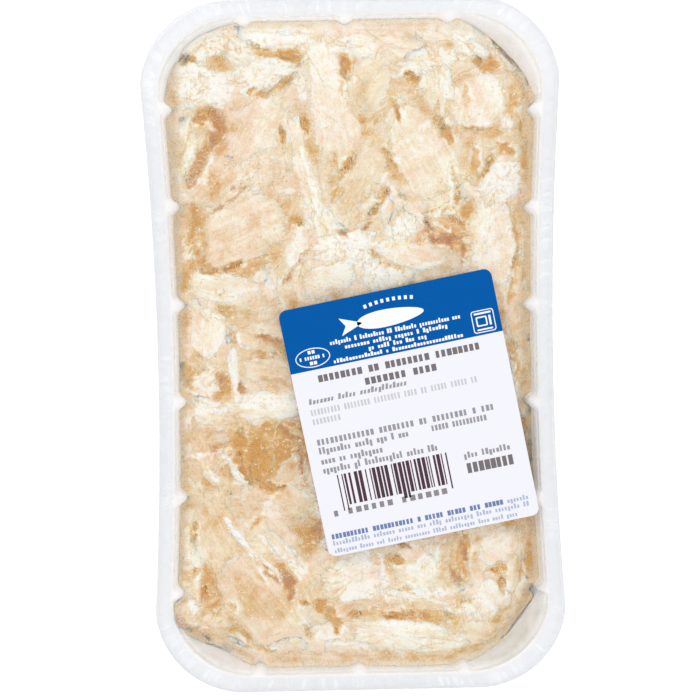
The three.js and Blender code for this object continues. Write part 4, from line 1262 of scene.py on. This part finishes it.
# White torn strands and bundles: x, y to x, y, width, strength
WHITES = (
    (225, 523, 255, 560, 5, 1.0), (205, 470, 217, 482, 4, 1.0), (225, 455, 245, 485, 5, 0.9), (190, 460, 232, 450, 2.5, 0.9), (236, 432, 242, 426, 2, 0.9),
    (381, 560, 387, 606, 5, 1.0), (393, 166, 372, 200, 3, 0.6), (302, 150, 318, 205, 4, 0.5), (318, 205, 312, 222, 4, 0.6), (243, 100, 262, 90, 3, 0.8),
    (262, 88, 285, 72, 3, 0.8), (253, 40, 300, 38, 9, 0.7), (190, 100, 184, 72, 6, 0.8), (330, 52, 352, 48, 6, 0.8), (455, 46, 470, 40, 4, 0.8),
    (474, 46, 486, 58, 4, 0.8), (436, 55, 462, 60, 5, 0.6), (420, 130, 440, 112, 5, 0.5), (428, 222, 450, 230, 3, 0.9), (455, 236, 470, 242, 3, 0.8),
    (245, 398, 300, 402, 8, 0.6), (195, 410, 230, 412, 7, 0.6), (234, 350, 236, 400, 6, 0.6), (275, 495, 262, 515, 5, 0.5), (262, 540, 300, 580, 4, 0.7),
    (285, 548, 305, 570, 5, 0.6), (290, 565, 305, 575, 5, 0.8), (345, 560, 368, 556, 8, 0.6), (395, 600, 455, 596, 8, 0.6), (410, 575, 425, 560, 6, 0.7),
    (480, 600, 498, 618, 7, 0.6), (355, 626, 440, 632, 5, 0.5), (470, 612, 490, 628, 5, 0.7), (182, 592, 196, 614, 7, 0.7), (178, 628, 205, 632, 4, 0.6),
    (440, 80, 448, 96, 5, 0.5), (505, 118, 508, 130, 5, 0.8), (475, 200, 488, 170, 4, 0.5), (185, 255, 200, 260, 5, 0.6), (290, 262, 300, 235, 4, 0.6),
    (400, 272, 440, 262, 4, 0.5), (520, 380, 517, 420, 4, 0.4), (196, 140, 190, 168, 4, 0.6), (215, 150, 205, 186, 3, 0.5), (318, 640, 345, 648, 5, 0.5),
)


class Gaps:
    """Amber (partly painted shade of the gaps), brown and depth of the gaps, on a fine grid over the heap."""

    def __init__(self, cell=0.3):
        self.c, self.x0, self.y0 = cell, -63.0, -109.0
        x, y = np.meshgrid(np.arange(-63.0, 63.01, cell), np.arange(-109.0, 109.01, cell))
        self.shape = x.shape
        wx = x + 1.0 * noise(x / 2.9, y / 2.9, 71) + 0.6 * noise(x / 1.1, y / 1.1, 72)
        wy = y + 1.0 * noise(x / 2.9, y / 2.9, 73) + 0.6 * noise(x / 1.1, y / 1.1, 74)
        self.amber, self.brown, self.dent, self.white = (np.zeros_like(x) for _ in range(4))
        ragged = noise(x / 1.6, y / 1.6, 75)
        for px, py, qx, qy, width, strength, kind in GAPS:
            ax, ay = from_picture(px, py, 31.0)
            bx, by = from_picture(qx, qy, 31.0)
            r = 0.5 * width / 3.093 + 0.12
            i0, i1 = [int(np.clip((v - self.x0) / cell, 0, x.shape[1])) for v in (min(ax, bx) - 2.2 * r - 3, max(ax, bx) + 2.2 * r + 3)]
            j0, j1 = [int(np.clip((v - self.y0) / cell, 0, x.shape[0])) for v in (min(ay, by) - 2.2 * r - 3, max(ay, by) + 2.2 * r + 3)]
            sx, sy = wx[j0:j1, i0:i1], wy[j0:j1, i0:i1]
            vx, vy = bx - ax, by - ay
            t = np.clip(((sx - ax) * vx + (sy - ay) * vy) / (vx * vx + vy * vy + 1e-9), 0, 1)
            swell = 0.72 + 0.4 * np.sin(np.pi * t) + 0.35 * noise(t * math.hypot(vx, vy) / 2.2 + px, t * 0 + py, 79)
            q = np.hypot(sx - ax - t * vx, sy - ay - t * vy) / (r * swell)
            side = smooth(-1.2, 1.2, (-(sx - ax) * vy + (sy - ay) * vx) / (math.hypot(vx, vy) + 0.3) / r * (1 if int(px + py) % 2 else -1))
            crisp, slow = (1 - smooth(0.75, 1.2, q)), (1 - smooth(0.15, 1.9, q)) ** 1.2
            a = strength * (crisp * (1 - side) + slow * side)
            deep = (0.8, 0.35, 0.0)[kind] * strength * (0.7 + 0.5 * min(r, 2.2)) * (1 - smooth(0.2, 1.2, q))
            for field, share in ((self.amber, (1.0, 0.35, 0.5)[kind]), (self.brown, (0.0, 1.0, 0.22)[kind])):
                field[j0:j1, i0:i1] = np.maximum(field[j0:j1, i0:i1], share * a)
            self.dent[j0:j1, i0:i1] = np.maximum(self.dent[j0:j1, i0:i1], deep)
            far = (q - 1) * r
            fringe = (0.0 if kind == 2 else 0.8) * np.exp(-(((far - 0.75) / 0.55) ** 2)) * (1 - side) * smooth(-0.45, 0.35, ragged[j0:j1, i0:i1])
            self.white[j0:j1, i0:i1] = np.maximum(self.white[j0:j1, i0:i1], fringe)
        for px, py, qx, qy, width, strength in WHITES:
            ax, ay = from_picture(px, py)
            bx, by = from_picture(qx, qy)
            r = 0.5 * width / 3.093
            vx, vy = bx - ax, by - ay
            t = np.clip(((wx - ax) * vx + (wy - ay) * vy) / (vx * vx + vy * vy + 1e-9), 0, 1)
            q = np.hypot(wx - ax - t * vx, wy - ay - t * vy) / r
            self.white = np.maximum(self.white, strength * (1 - smooth(0.5, 1.4, q)))
        self.amber = self.amber * (1 - 0.85 * self.white)

    def at(self, grid, x, y):
        u = np.clip((x - self.x0) / self.c, 0, grid.shape[1] - 1.001)
        v = np.clip((y - self.y0) / self.c, 0, grid.shape[0] - 1.001)
        i, j = np.floor(u).astype(int), np.floor(v).astype(int)
        fu, fv = u - i, v - j
        return (grid[j, i] * (1 - fu) + grid[j, i + 1] * fu) * (1 - fv) + (grid[j + 1, i] * (1 - fu) + grid[j + 1, i + 1] * fu) * fv


class CodHeap:
    def __init__(self):
        self.hm = HeightMap()
        self.gaps = Gaps()
        self.rims = []

    def cavity(self):
        """Share of the sky that the heap hides from each point of its own top."""
        h = self.hm.blurred(self.hm.h, 0.5)
        hidden = np.zeros_like(h)
        dirs = 16
        for k in range(dirs):
            a = 2 * np.pi * k / dirs
            worst = np.zeros_like(h)
            for r in (1.0, 1.7, 2.6, 3.8, 5.4, 7.5, 10.0):
                i, j = int(round(r * math.cos(a) / self.hm.c)), int(round(r * math.sin(a) / self.hm.c))
                moved = np.roll(h, (-j, -i), (0, 1))
                worst = np.maximum(worst, (moved - h) / math.hypot(i * self.hm.c, j * self.hm.c))
            hidden += worst / np.hypot(1, worst)
        cav = self.hm.blurred(hidden / dirs, 0.5)
        inside = (inset_of(*np.meshgrid(self.hm.x0 + np.arange(self.hm.nx) * self.hm.c, self.hm.y0 + np.arange(self.hm.ny) * self.hm.c))[0] > 11)
        lo, hi = np.percentile(cav[inside], (50, 97))
        self.cav = (cav - lo) / (hi - lo)
        self.top = h

    def level(self):
        """The heap's broad shape, towards which all of it is pressed."""
        self.broad = self.hm.blurred(self.hm.h, 5.0)
        x, y = np.meshgrid(self.hm.x0 + np.arange(self.hm.nx) * self.hm.c, self.hm.y0 + np.arange(self.hm.ny) * self.hm.c)
        # the level some mm inside the wall, carried on out to it
        d, gx, gy = inset_of(x, y)
        e = np.clip(5.0 - wall_room(x, y, np.full(x.shape, 31.0)), 0, 9)
        self.brim = self.hm.blurred(self.hm.sample(self.broad, x + gx * e, y + gy * e), 1.2)
        self.hm.h = self.broad + PRESS * (self.hm.h - self.broad) + LIFT - self.gaps.at(self.gaps.dent, x, y)
        self.hm.h = np.minimum(self.hm.h - slack(x, y), CAP)

    def levelled(self, v):
        b = self.hm.sample(self.broad, v[:, 0], v[:, 1])
        z = np.minimum(b + PRESS * (v[:, 2] - b) + LIFT, CAP + 0.2) - self.gaps.at(self.gaps.dent, v[:, 0], v[:, 1])
        # pressed up against the wall, without a notch
        room = wall_room(v[:, 0], v[:, 1], z)
        z = z + 0.9 * (1 - smooth(0.3, 3.4, room)) * np.clip(self.hm.sample(self.brim, v[:, 0], v[:, 1]) + 0.3 - z, 0, None)
        z = np.minimum(z - slack(v[:, 0], v[:, 1]), CAP + 0.2)
        return np.where(v[:, 2] > 15, z, v[:, 2])

    def close(self):
        """The heap's top with its narrow notches, and the one along the wall, filled by the mush of fine shreds."""
        c = self.hm.c
        x, y = np.meshgrid(self.hm.x0 + np.arange(self.hm.nx) * c, self.hm.y0 + np.arange(self.hm.ny) * c)
        dent = self.gaps.at(self.gaps.dent, x, y)
        h = self.hm.h + dent
        room = wall_room(x, y, np.clip(h, 20, 34))
        full = self.brim + 0.35 + 0.7 * noise(x / 3.1, y / 3.1, 94) - 1.6 * smooth(0.6, 4.0, room) - slack(x, y)
        h = np.where(room < 5, np.maximum(h, np.minimum(full, CAP)), h)
        moves = [(i, j) for i in range(-3, 4) for j in range(-3, 4) if i * i + j * j <= 10]
        up = np.max([np.roll(h, (j, i), (0, 1)) for i, j in moves], 0)
        down = np.min([np.roll(up, (j, i), (0, 1)) for i, j in moves], 0)
        self.mush = np.minimum(self.hm.blurred(down, 0.9), CAP - 0.1) - 0.12 - 1.9 * dent

    def cavity_at(self, v):
        c = self.hm.sample(self.cav, v[:, 0], v[:, 1])
        below = self.hm.sample(self.top, v[:, 0], v[:, 1]) - v[:, 2]
        return np.clip(np.clip(c, 0, 1.1) + 0.15 * np.clip(below - 1.0, 0, 5), 0, 1.2)

    def build(self):
        rng = np.random.default_rng(41)
        groups = {k: Pieces() for k in ("bed_a", "bed_b", "edge", "low", "flakes_a", "flakes_b", "chunks", "shreds", "fibres", "wool", "crumbs", "salt")}
        # beds of random flakes on the core
        for which, nx, ny, l0, l1, w0, w1, res in (("bed_a", 8, 14, 16, 28, 10, 16, 1.5), ("bed_b", 9, 16, 10, 24, 6, 13, 1.15)):
            cells = [(i, j) for j in range(ny) for i in range(nx)]
            rng.shuffle(cells)
            for n, (i, j) in enumerate(cells):
                x = -53 + 106 * (i + rng.uniform(0.1, 0.9)) / nx
                y = -99 + 198 * (j + rng.uniform(0.1, 0.9)) / ny
                p = make_spec(
                    x, y, rng.uniform(l0, l1), rng.uniform(w0, w1), rng.uniform(0, 180), rng.uniform(1.2, 2.3), rng.uniform(-0.25, 0.45), 500 + n + 300 * (which == "bed_b"),
                    res=res, fray=rng.uniform(0.5, 1.0), taper=rng.uniform(-0.3, 0.3), rough=float(rng.random() < 0.4) * rng.uniform(0.3, 0.9),
                    tilt=(rng.uniform(-0.06, 0.06), rng.uniform(-0.09, 0.09)), layer=rng.uniform(0.3, 1.2), crisp=rng.uniform(0.1, 0.7),
                )
                lay_flake(self.hm, p, groups[which], self.rims if which == "bed_b" else None)
        # a border of flakes against the walls
        st = stations(22, 11, 5)
        for k, d in enumerate((9.0, 12.5, 10.5)):
            ox, oy = outline(st, d)
            run = np.unwrap(np.arctan2(np.roll(oy, -1) - np.roll(oy, 1), np.roll(ox, -1) - np.roll(ox, 1)))
            for n in range(k, len(ox), 2):
                p = make_spec(
                    ox[n] + rng.uniform(-1.5, 1.5), oy[n] + rng.uniform(-1.5, 1.5), rng.uniform(11, 20), rng.uniform(7, 11), math.degrees(run[n]) + rng.normal(0, 22),
                    rng.uniform(1.8, 2.8), rng.uniform(-0.3, 0.4), 1200 + 200 * k + n, res=1.3, fray=0.7, layer=0.6, crisp=0.4, rough=float(rng.random() < 0.4) * 0.5,
                )
                lay_flake(self.hm, p, groups["edge"], self.rims if k == 2 else None)
        for k, (px, py, l, w, a, t, tone, more) in enumerate(LOW):
            x, y = from_picture(px, py, 28)
            lay_flake(self.hm, make_spec(x, y, l, w, a - 1.2, t * 0.55, tone, 700 + k, **{"res": 0.9, **more}), groups["low"])
        for k, (px, py, l, w, a, t, tone, more) in enumerate(MAIN):
            x, y = from_picture(px, py)
            more = dict(more)
            rough = more.get("rough", 0)
            more.setdefault("res", 0.5 if rough > 0.5 else 0.58)
            more.setdefault("tilt", (rng.uniform(-0.03, 0.03), rng.uniform(-0.06, 0.06)))
            kind = "chunks" if rough > 0.5 else "shreds" if w < 6 else "flakes_a" if k % 2 else "flakes_b"
            lay_flake(self.hm, make_spec(x, y, l, w, a - 1.2, t * 0.62, tone, 40 + k, **more), groups[kind], self.rims)
        self.level()
        self.cavity()
        self.close()
        self.strew(rng, groups)
        mat, thin = cod_material(), cod_material("cod_fibre", 0.0)
        for k, g in groups.items():
            small = k in ("fibres", "wool", "salt", "crumbs")
            g.build("cod_" + k, thin if small else mat, self, small)
        self.core(mat)

    def strew(self, rng, groups):
        hm = self.hm
        rims = np.concatenate(self.rims)
        # torn fibres at the flakes' ends, along the grain
        w = (0.05 + rims[:, 3] ** 1.5) * (0.3 + rims[:, 5])
        n = 1700
        r = rims[rng.choice(len(rims), n, p=w / w.sum())]
        turn = r[:, 2] + rng.normal(0, 0.55, n)
        length = rng.gamma(2.2, 1.25, n) + 1.0
        back = rng.uniform(0.2, 0.75, n) * length
        x, y = r[:, 0] - np.cos(turn) * back, r[:, 1] - np.sin(turn) * back
        lay_fibres(
            hm, rng, groups["fibres"], x, y, turn, np.clip(length, 1.2, 11), rng.uniform(0.2, 0.5, n), rng.normal(0, 0.6, n), np.abs(rng.normal(0.0, 0.05, n)),
            r[:, 4] * 0.5 - rng.uniform(0.1, 0.7, n),
        )
        # woolly tufts, most of them at the gaps
        d = np.stack([rng.uniform(-57, 57, 9000), rng.uniform(-105, 105, 9000)], 1)
        g = self.gaps
        dent = g.at(g.dent, d[:, 0], d[:, 1])
        ring = np.exp(-(((dent - 0.22) / 0.14) ** 2)) * (dent > 0.06)
        w = 0.015 + 0.9 * ring + 0.25 * np.clip(hm.sample(self.cav, d[:, 0], d[:, 1]), 0, 1) + 0.5 * salt_at(d[:, 0], d[:, 1])
        w = w * (inset_of(d[:, 0], d[:, 1])[0] > 9.5)
        c = d[rng.choice(len(d), 240, replace=False, p=w / w.sum())]
        c = np.repeat(c, rng.integers(3, 9, len(c)), 0)
        c = c + rng.normal(0, 0.9, c.shape)
        n = len(c)
        lay_fibres(
            hm, rng, groups["wool"], c[:, 0], c[:, 1], rng.uniform(0, 2 * np.pi, n), rng.uniform(0.7, 3.4, n), rng.uniform(0.16, 0.36, n), rng.normal(0, 1.1, n),
            np.abs(rng.normal(0.0, 0.08, n)), -rng.uniform(0.1, 0.8, n), 4,
        )
        # crumbs of flesh
        n = 190
        r = rims[rng.choice(len(rims), n)]
        x, y = r[:, 0] + rng.normal(0, 1.2, n), r[:, 1] + rng.normal(0, 1.2, n)
        lay_lumps(hm, rng, groups["crumbs"], x, y, rng.gamma(2.5, 0.28, n) + 0.4, rng.uniform(-0.4, 0.3, n), 1, 0.75, 0.6, 0.0, -0.15)
        # salt
        n = 4300
        x, y = rng.uniform(-56, 56, 3 * n), rng.uniform(-104, 104, 3 * n)
        keep = (inset_of(x, y)[0] > 9.5) & (rng.random(3 * n) < 0.28 + 0.45 * smooth(-0.2, 0.5, noise(x / 8, y / 8, 61)) + 0.8 * salt_at(x, y))
        keep &= self.gaps.at(self.gaps.dent, x, y) < 0.25 + 0.6 * (rng.random(3 * n) < 0.12)
        x, y = x[keep][:n], y[keep][:n]
        lay_lumps(hm, rng, groups["salt"], x, y, rng.uniform(0.22, 0.55, len(x)), np.full(len(x), -1.0), 0, 0.35, 0.9, 0.9, 0.25)
        # torn white bits along the larger flakes' edges
        n = 2200
        r = rims[-7000:][rng.choice(7000, n)]
        x, y = r[:, 0] + rng.normal(0, 0.4, n), r[:, 1] + rng.normal(0, 0.4, n)
        keep = (self.gaps.at(self.gaps.dent, x, y) < 0.5) & (noise(x / 2.6, y / 2.6, 95) > -0.15)
        x, y = x[keep], y[keep]
        lay_lumps(hm, rng, groups["salt"], x, y, rng.uniform(0.28, 0.75, len(x)), np.full(len(x), -0.9), 0, 0.5, 0.75, 0.6, 0.2)

    def core(self, mat):
        nx, ny = 110, 200
        u, v = np.meshgrid(np.linspace(-1, 1, nx + 1), np.linspace(-1, 1, ny + 1))

        def bent(u, v, d):
            share = np.maximum(np.abs(u), np.abs(v)) + 1e-9
            a, b = WIDTH / 2 - d, LENGTH / 2 - d
            r = max(CORNER_R - CORNER_K * d, 6.0)
            x, y = np.abs(u) / share * a, np.abs(v) / share * b
            dx, dy = x - (a - r), y - (b - r)
            k = np.where((dx > 0) & (dy > 0), r / (np.hypot(dx, dy) + 1e-9), 1.0)
            x, y = np.where(k != 1.0, a - r + dx * k, x), np.where(k != 1.0, b - r + dy * k, y)
            x, y = x * share * np.sign(u), y * share * np.sign(v)
            return bowed(x, y), y

        x, y = bent(u, v, 6.6)
        low = core_height(x, y)
        x, y = inside_wall(x, y, self.hm.sample(self.mush, x, y))
        z = self.hm.sample(self.mush, x, y) + 0.12 * fbm(x / 1.9, y / 1.9, 91, 2)
        z = np.maximum(z, low - 5.0)
        dent = self.gaps.at(self.gaps.dent, x, y)
        # more amber in the gaps: the flesh's own amber with painted shade of the gap
        tone = (0.12 + 0.6 * smooth(0.05, 0.5, dent) + 0.25 * noise(x / 3.7, y / 3.7, 92)).ravel()
        verts = [np.stack([x, y, z], 2).reshape(-1, 3)]
        row = nx + 1
        i, j = np.meshgrid(np.arange(nx), np.arange(ny))
        p = (j * row + i).ravel()
        quads = [np.stack([p, p + 1, p + row + 1, p + row], 1)]
        ring = np.concatenate([np.arange(nx), np.arange(ny) * row + nx, ny * row + np.arange(nx, 0, -1), np.arange(ny, 0, -1) * row])
        eu, ev = u.ravel()[ring], v.ravel()[ring]
        above, n = ring, len(ring)
        count = row * (ny + 1)
        rim_z = z.ravel()[ring]
        for d, zz, off in ((6.6, 31.5, 1.0), (6.6, 29.0, 2.5), (7.5, 25.5, 5.0), (8.5, 19.0, 9.0), (13.0, 8.0, 14.0), (16.0, 1.6, 20.0)):
            bx, by = bent(eu, ev, d)
            bz = np.minimum(zz, np.maximum(rim_z - off, 1.6))
            bx, by = inside_wall(bx, by, bz, 0.15)
            verts.append(np.stack([bx, by, bz], 1))
            below = count + np.arange(n)
            a, b = np.arange(n), (np.arange(n) + 1) % n
            quads.append(np.stack([above[a], below[a], below[b], above[b]], 1))
            above, count = below, count + n
        verts.append(np.array([[0, 0, 1.6]]))
        a, b = np.arange(n), (np.arange(n) + 1) % n
        tris = np.stack([above[b], above[a], np.full(n, count)], 1)
        v3 = np.concatenate(verts)
        core = Pieces()
        core.add(v3, np.concatenate(quads), tris, tone=np.concatenate([tone, np.full(len(v3) - len(tone), 0.3)]), edge=0.0, fc=np.stack([v3[:, 0], v3[:, 1], np.full(len(v3), 3.0)], 1), salt=0.0)
        ob = core.build("cod_core", mat, self, level=False)
        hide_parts("cod_heap")


def cod_material(name="cod_flesh", glow=0.65):
    m = Mat(name)
    fc = m.attr("fc", "Vector")
    tone, cav, edge, salt = m.attr("tone"), m.attr("cav"), m.attr("edge"), m.attr("salt")
    amber, brown = m.attr("amber"), m.attr("brown")
    obj = m.scaled(m.add("ShaderNodeTexCoord").outputs["Object"], (1000.0, 1000.0, 1000.0))
    streak = m.noise(m.scaled(fc, (0.07, 0.62, 1.0)), 1.0, 4, 0.6, 0.4)
    fine = m.noise(m.scaled(fc, (0.5, 2.2, 1.0)), 1.0, 3, 0.6, 0.4)
    cloud = m.noise(obj, 0.13, 5, 0.6, 0.6)
    blotch = m.noise(obj, 0.42, 4, 0.65, 0.8)
    grit = m.noise(obj, 1.5, 4, 0.75)
    dust = m.noise(obj, 2.5, 2, 0.7)
    shade = m.add("ShaderNodeAmbientOcclusion", {"Distance": 0.0022}, samples=6)
    # how far the flesh goes from chalky white to amber
    t = m.math("MULTIPLY_ADD", tone, 0.52, 0.315)
    for v, lo, hi, amp in ((streak, 0.28, 0.72, 0.12), (cloud, 0.35, 0.65, 0.15), (blotch, 0.34, 0.66, 0.07), (fine, 0.25, 0.75, 0.02)):
        t = m.math("ADD", t, m.ramp(v, lo, hi, -amp, amp))
    # torn edges paler, their own colour, but only where the AO node finds them open: painted shade keeps them darker in
    # hollows
    t = m.math("SUBTRACT", t, m.math("MULTIPLY", m.math("MULTIPLY", edge, m.ramp(shade.outputs["AO"], 0.84, 0.97)), m.ramp(blotch, 0.35, 0.6, 0.15, 0.6)))
    deep = m.ramp(cav, 0.0, 1.0, smooth_it=False)
    # painted shade: more amber where the AO node finds the flesh hidden, less of it near the walls; and the flesh a
    # little paler at the walls, as painted light
    t = m.math("ADD", t, m.math("MULTIPLY", m.math("MULTIPLY_ADD", m.attr("open"), 0.6, 0.4), m.ramp(shade.outputs["AO"], 0.84, 0.45, 0.0, 0.55)))
    t = m.math("SUBTRACT", t, m.math("MULTIPLY", m.math("SUBTRACT", 1.0, m.attr("open")), 0.02))
    t = m.math("ADD", t, m.attr("area"))
    # painted shade: more amber where the heap's own top hides more of the sky (cav)
    t = m.math("ADD", t, m.math("MULTIPLY", m.math("POWER", deep, 1.3), 0.5))
    # amber of the gaps: the flesh's own amber with painted shade of the gap
    t = m.math("ADD", t, m.math("MULTIPLY", amber, m.ramp(blotch, 0.32, 0.6, 0.4, 0.82)))
    # salt and chalky flesh whiter, less so where the AO node finds them hidden: painted shade in hollows
    t = m.math("SUBTRACT", t, m.math("MULTIPLY", salt, m.ramp(shade.outputs["AO"], 0.55, 0.88, 0.2, 0.75)), clamp=True)
    ramp = m.add("ShaderNodeValToRGB")
    m.put(ramp.inputs[0], t)
    cr = ramp.color_ramp
    stops = ((0.0, (253, 251, 246)), (0.2, (247, 240, 227)), (0.42, (240, 225, 204)), (0.6, (232, 210, 179)), (0.78, (224, 193, 146)), (1.0, (214, 168, 102)))
    cr.elements[0].position, cr.elements[0].color = stops[0][0], srgb(*stops[0][1])
    cr.elements[1].position, cr.elements[1].color = stops[-1][0], srgb(*stops[-1][1])
    for pos, c in stops[1:-1]:
        cr.elements.new(pos).color = srgb(*c)
    hue = m.noise(obj, 0.055, 2, 0.5, 0.3)
    tint = m.math("MULTIPLY_ADD", m.noise(obj, 0.3, 3, 0.6, 0.5), 0.5, m.math("MULTIPLY", hue, 0.5))
    col = m.mix(m.ramp(salt, 0.2, 1.0, 0.6, 0.1), ramp.outputs[0], m.mix(m.ramp(tint, 0.4, 0.6), srgb(255, 240, 233), srgb(252, 251, 238)), "MULTIPLY")
    lilac = m.ramp(m.noise(obj, 0.21, 3, 0.6, 0.4), 0.58, 0.72, 0.0, 0.5)
    col = m.mix(lilac, col, m.mix(1.0, col, srgb(250, 243, 252), "MULTIPLY"))
    # painted light inside the folds, for the light that the flesh passes on there: warmer and brighter where the AO
    # node finds them hidden, amber in the deepest
    col = m.mix(m.ramp(shade.outputs["AO"], 0.97, 0.72, 0.0, 0.95), col, m.mix(0.85, col, srgb(255, 232, 190)))
    col = m.mix(m.ramp(shade.outputs["AO"], 0.74, 0.42, 0.0, 0.75), col, srgb(255, 215, 150))
    # painted shade where the heap meets the wall: greyer there, paler at the tray's ends and in the slack corner, and
    # less of it in the deepest hollows
    near = m.math("MULTIPLY", m.attr("wall"), m.ramp(shade.outputs["AO"], 0.4, 0.7, 0.25, 1.0))
    col = m.mix(m.math("MULTIPLY", near, m.ramp(blotch, 0.3, 0.6, 0.95, 0.55)), col, m.mix(m.attr("pale"), srgb(203, 193, 179), srgb(242, 239, 230)))
    # amber of the gaps, darker where the AO node finds them hidden: the gaps' own amber with painted shade
    gap_amber_and_shade = m.math("MULTIPLY", m.ramp(amber, 0.45, 0.9), m.ramp(blotch, 0.38, 0.6, 0.35, 0.95))
    col = m.mix(gap_amber_and_shade, col, m.mix(m.ramp(shade.outputs["AO"], 0.92, 0.55), srgb(214, 160, 93), srgb(190, 126, 58)))
    col = m.mix(m.math("MULTIPLY", brown, m.ramp(blotch, 0.3, 0.62, 0.6, 1.0)), col, m.mix(m.ramp(cloud, 0.4, 0.6), srgb(202, 143, 92), srgb(190, 138, 108)))
    white = m.math("MULTIPLY", m.ramp(dust, 0.52, 0.66), m.ramp(grit, 0.42, 0.6))
    col = m.mix(m.math("MULTIPLY", white, 0.9), col, m.mix(0.22, col, srgb(255, 253, 250)))
    # dark specks, stronger at torn edges and, as painted shade, where the heap's top hides the sky (deep)
    dark = m.math("MULTIPLY", m.ramp(dust, 0.48, 0.36), m.ramp(fine, 0.6, 0.4, 0.3, 1.0))
    col = m.mix(m.math("MULTIPLY", dark, m.ramp(m.math("MAXIMUM", edge, deep), 0.1, 0.9, 0.38, 0.95)), col, m.mix(1.0, col, srgb(210, 204, 196), "MULTIPLY"))
    n1 = m.bump(blotch, 0.2, 0.8)
    n2 = m.bump(fine, 0.45, 0.3, n1)
    n3 = m.bump(grit, 0.55, 0.35, n2)
    n4 = m.bump(dust, 0.95, 0.18, n3)
    p = m.principled(Base_Color=col, Roughness=m.ramp(cloud, 0.3, 0.7, 0.5, 0.72), Normal=n4)
    p.inputs["Subsurface Weight"].default_value = glow
    p.inputs["Subsurface Radius"].default_value = (1.0, 0.84, 0.7)
    p.inputs["Subsurface Scale"].default_value = 0.0006
    p.inputs["Specular IOR Level"].default_value = 0.2
    return m.done(p.outputs[0])


# ------------------------------------------------------------------ floor, light, camera
def build_stage():
    m = Mat("stage_white")
    p = m.principled(Base_Color=(0.93, 0.93, 0.93, 1), Roughness=0.8)
    p.inputs["Emission Color"].default_value = (1, 1, 1, 1)
    p.inputs["Emission Strength"].default_value = 0.25
    floor = make_mesh("floor", [(-3000, -3000, -0.02), (3000, -3000, -0.02), (3000, 3000, -0.02), (-3000, 3000, -0.02)], quads=[[0, 1, 2, 3]], smooth=False, material=m.done(p.outputs[0]))
    sc = bpy.context.scene
    sc.view_settings.view_transform = "Standard"
    sc.view_settings.look = "None"
    sc.view_settings.exposure = 0.0
    sc.view_settings.gamma = 1.0
    world = bpy.data.worlds.new("soft_world")
    sc.world = world
    world.use_nodes = True
    bg = world.node_tree.nodes["Background"]
    bg.inputs[0].default_value = (0.97, 0.985, 1.0, 1)
    bg.inputs[1].default_value = 0.61

    def area(name, loc, size, power, colour=(1, 1, 1)):
        light = bpy.data.lights.new(name, "AREA")
        light.shape = "DISK"
        light.size = size
        light.energy = power
        light.color = colour
        ob = bpy.data.objects.new(name, light)
        bpy.context.scene.collection.objects.link(ob)
        ob.location = loc
        from mathutils import Vector

        ob.rotation_euler = (Vector((0, 0, 0.02)) - Vector(loc)).to_track_quat("-Z", "Y").to_euler()

        return ob

    area("key", (-0.55, 0.75, 1.1), 0.5, 3.5, (1.0, 0.99, 0.97))
    over = area("overhead", (0.0, 0.1, 1.6), 0.8, 8.65, (1.0, 0.995, 0.985))
    over.visible_glossy = False  # no glare on the flat film
    over.visible_camera = False
    area("fill", (0.8, -0.35, 1.0), 0.9, 1.8, (0.98, 0.99, 1.0))

    cam = bpy.data.cameras.new("camera")
    ob = bpy.data.objects.new("camera", cam)
    bpy.context.scene.collection.objects.link(ob)
    cam.sensor_width = 36.0
    cam.lens = 105.6
    cam.clip_start = 0.05
    cam.clip_end = 20.0
    dist, tilt, roll = 0.700, math.radians(5.3), math.radians(1.2)
    from mathutils import Matrix

    # camera axes: right, up, back
    back = np.array([0.0, math.sin(tilt), math.cos(tilt)])
    right = np.array([1.0, 0.0, 0.0])
    up = np.cross(back, right)
    # the picture shows the tray turned counter-clockwise by roll
    r2 = right * math.cos(roll) - up * math.sin(roll)
    u2 = right * math.sin(roll) + up * math.cos(roll)
    target = np.array([0.0, 0.0, 0.036])
    target = target - r2 * 0.00171 - u2 * 0.0002
    loc = target + back * (dist - 0.036)
    ob.matrix_world = Matrix(((r2[0], u2[0], back[0], loc[0]), (r2[1], u2[1], back[1], loc[1]), (r2[2], u2[2], back[2], loc[2]), (0, 0, 0, 1)))
    sc.camera = ob


build_stage()
build_tray()
build_film()
build_label()
CodHeap().build()

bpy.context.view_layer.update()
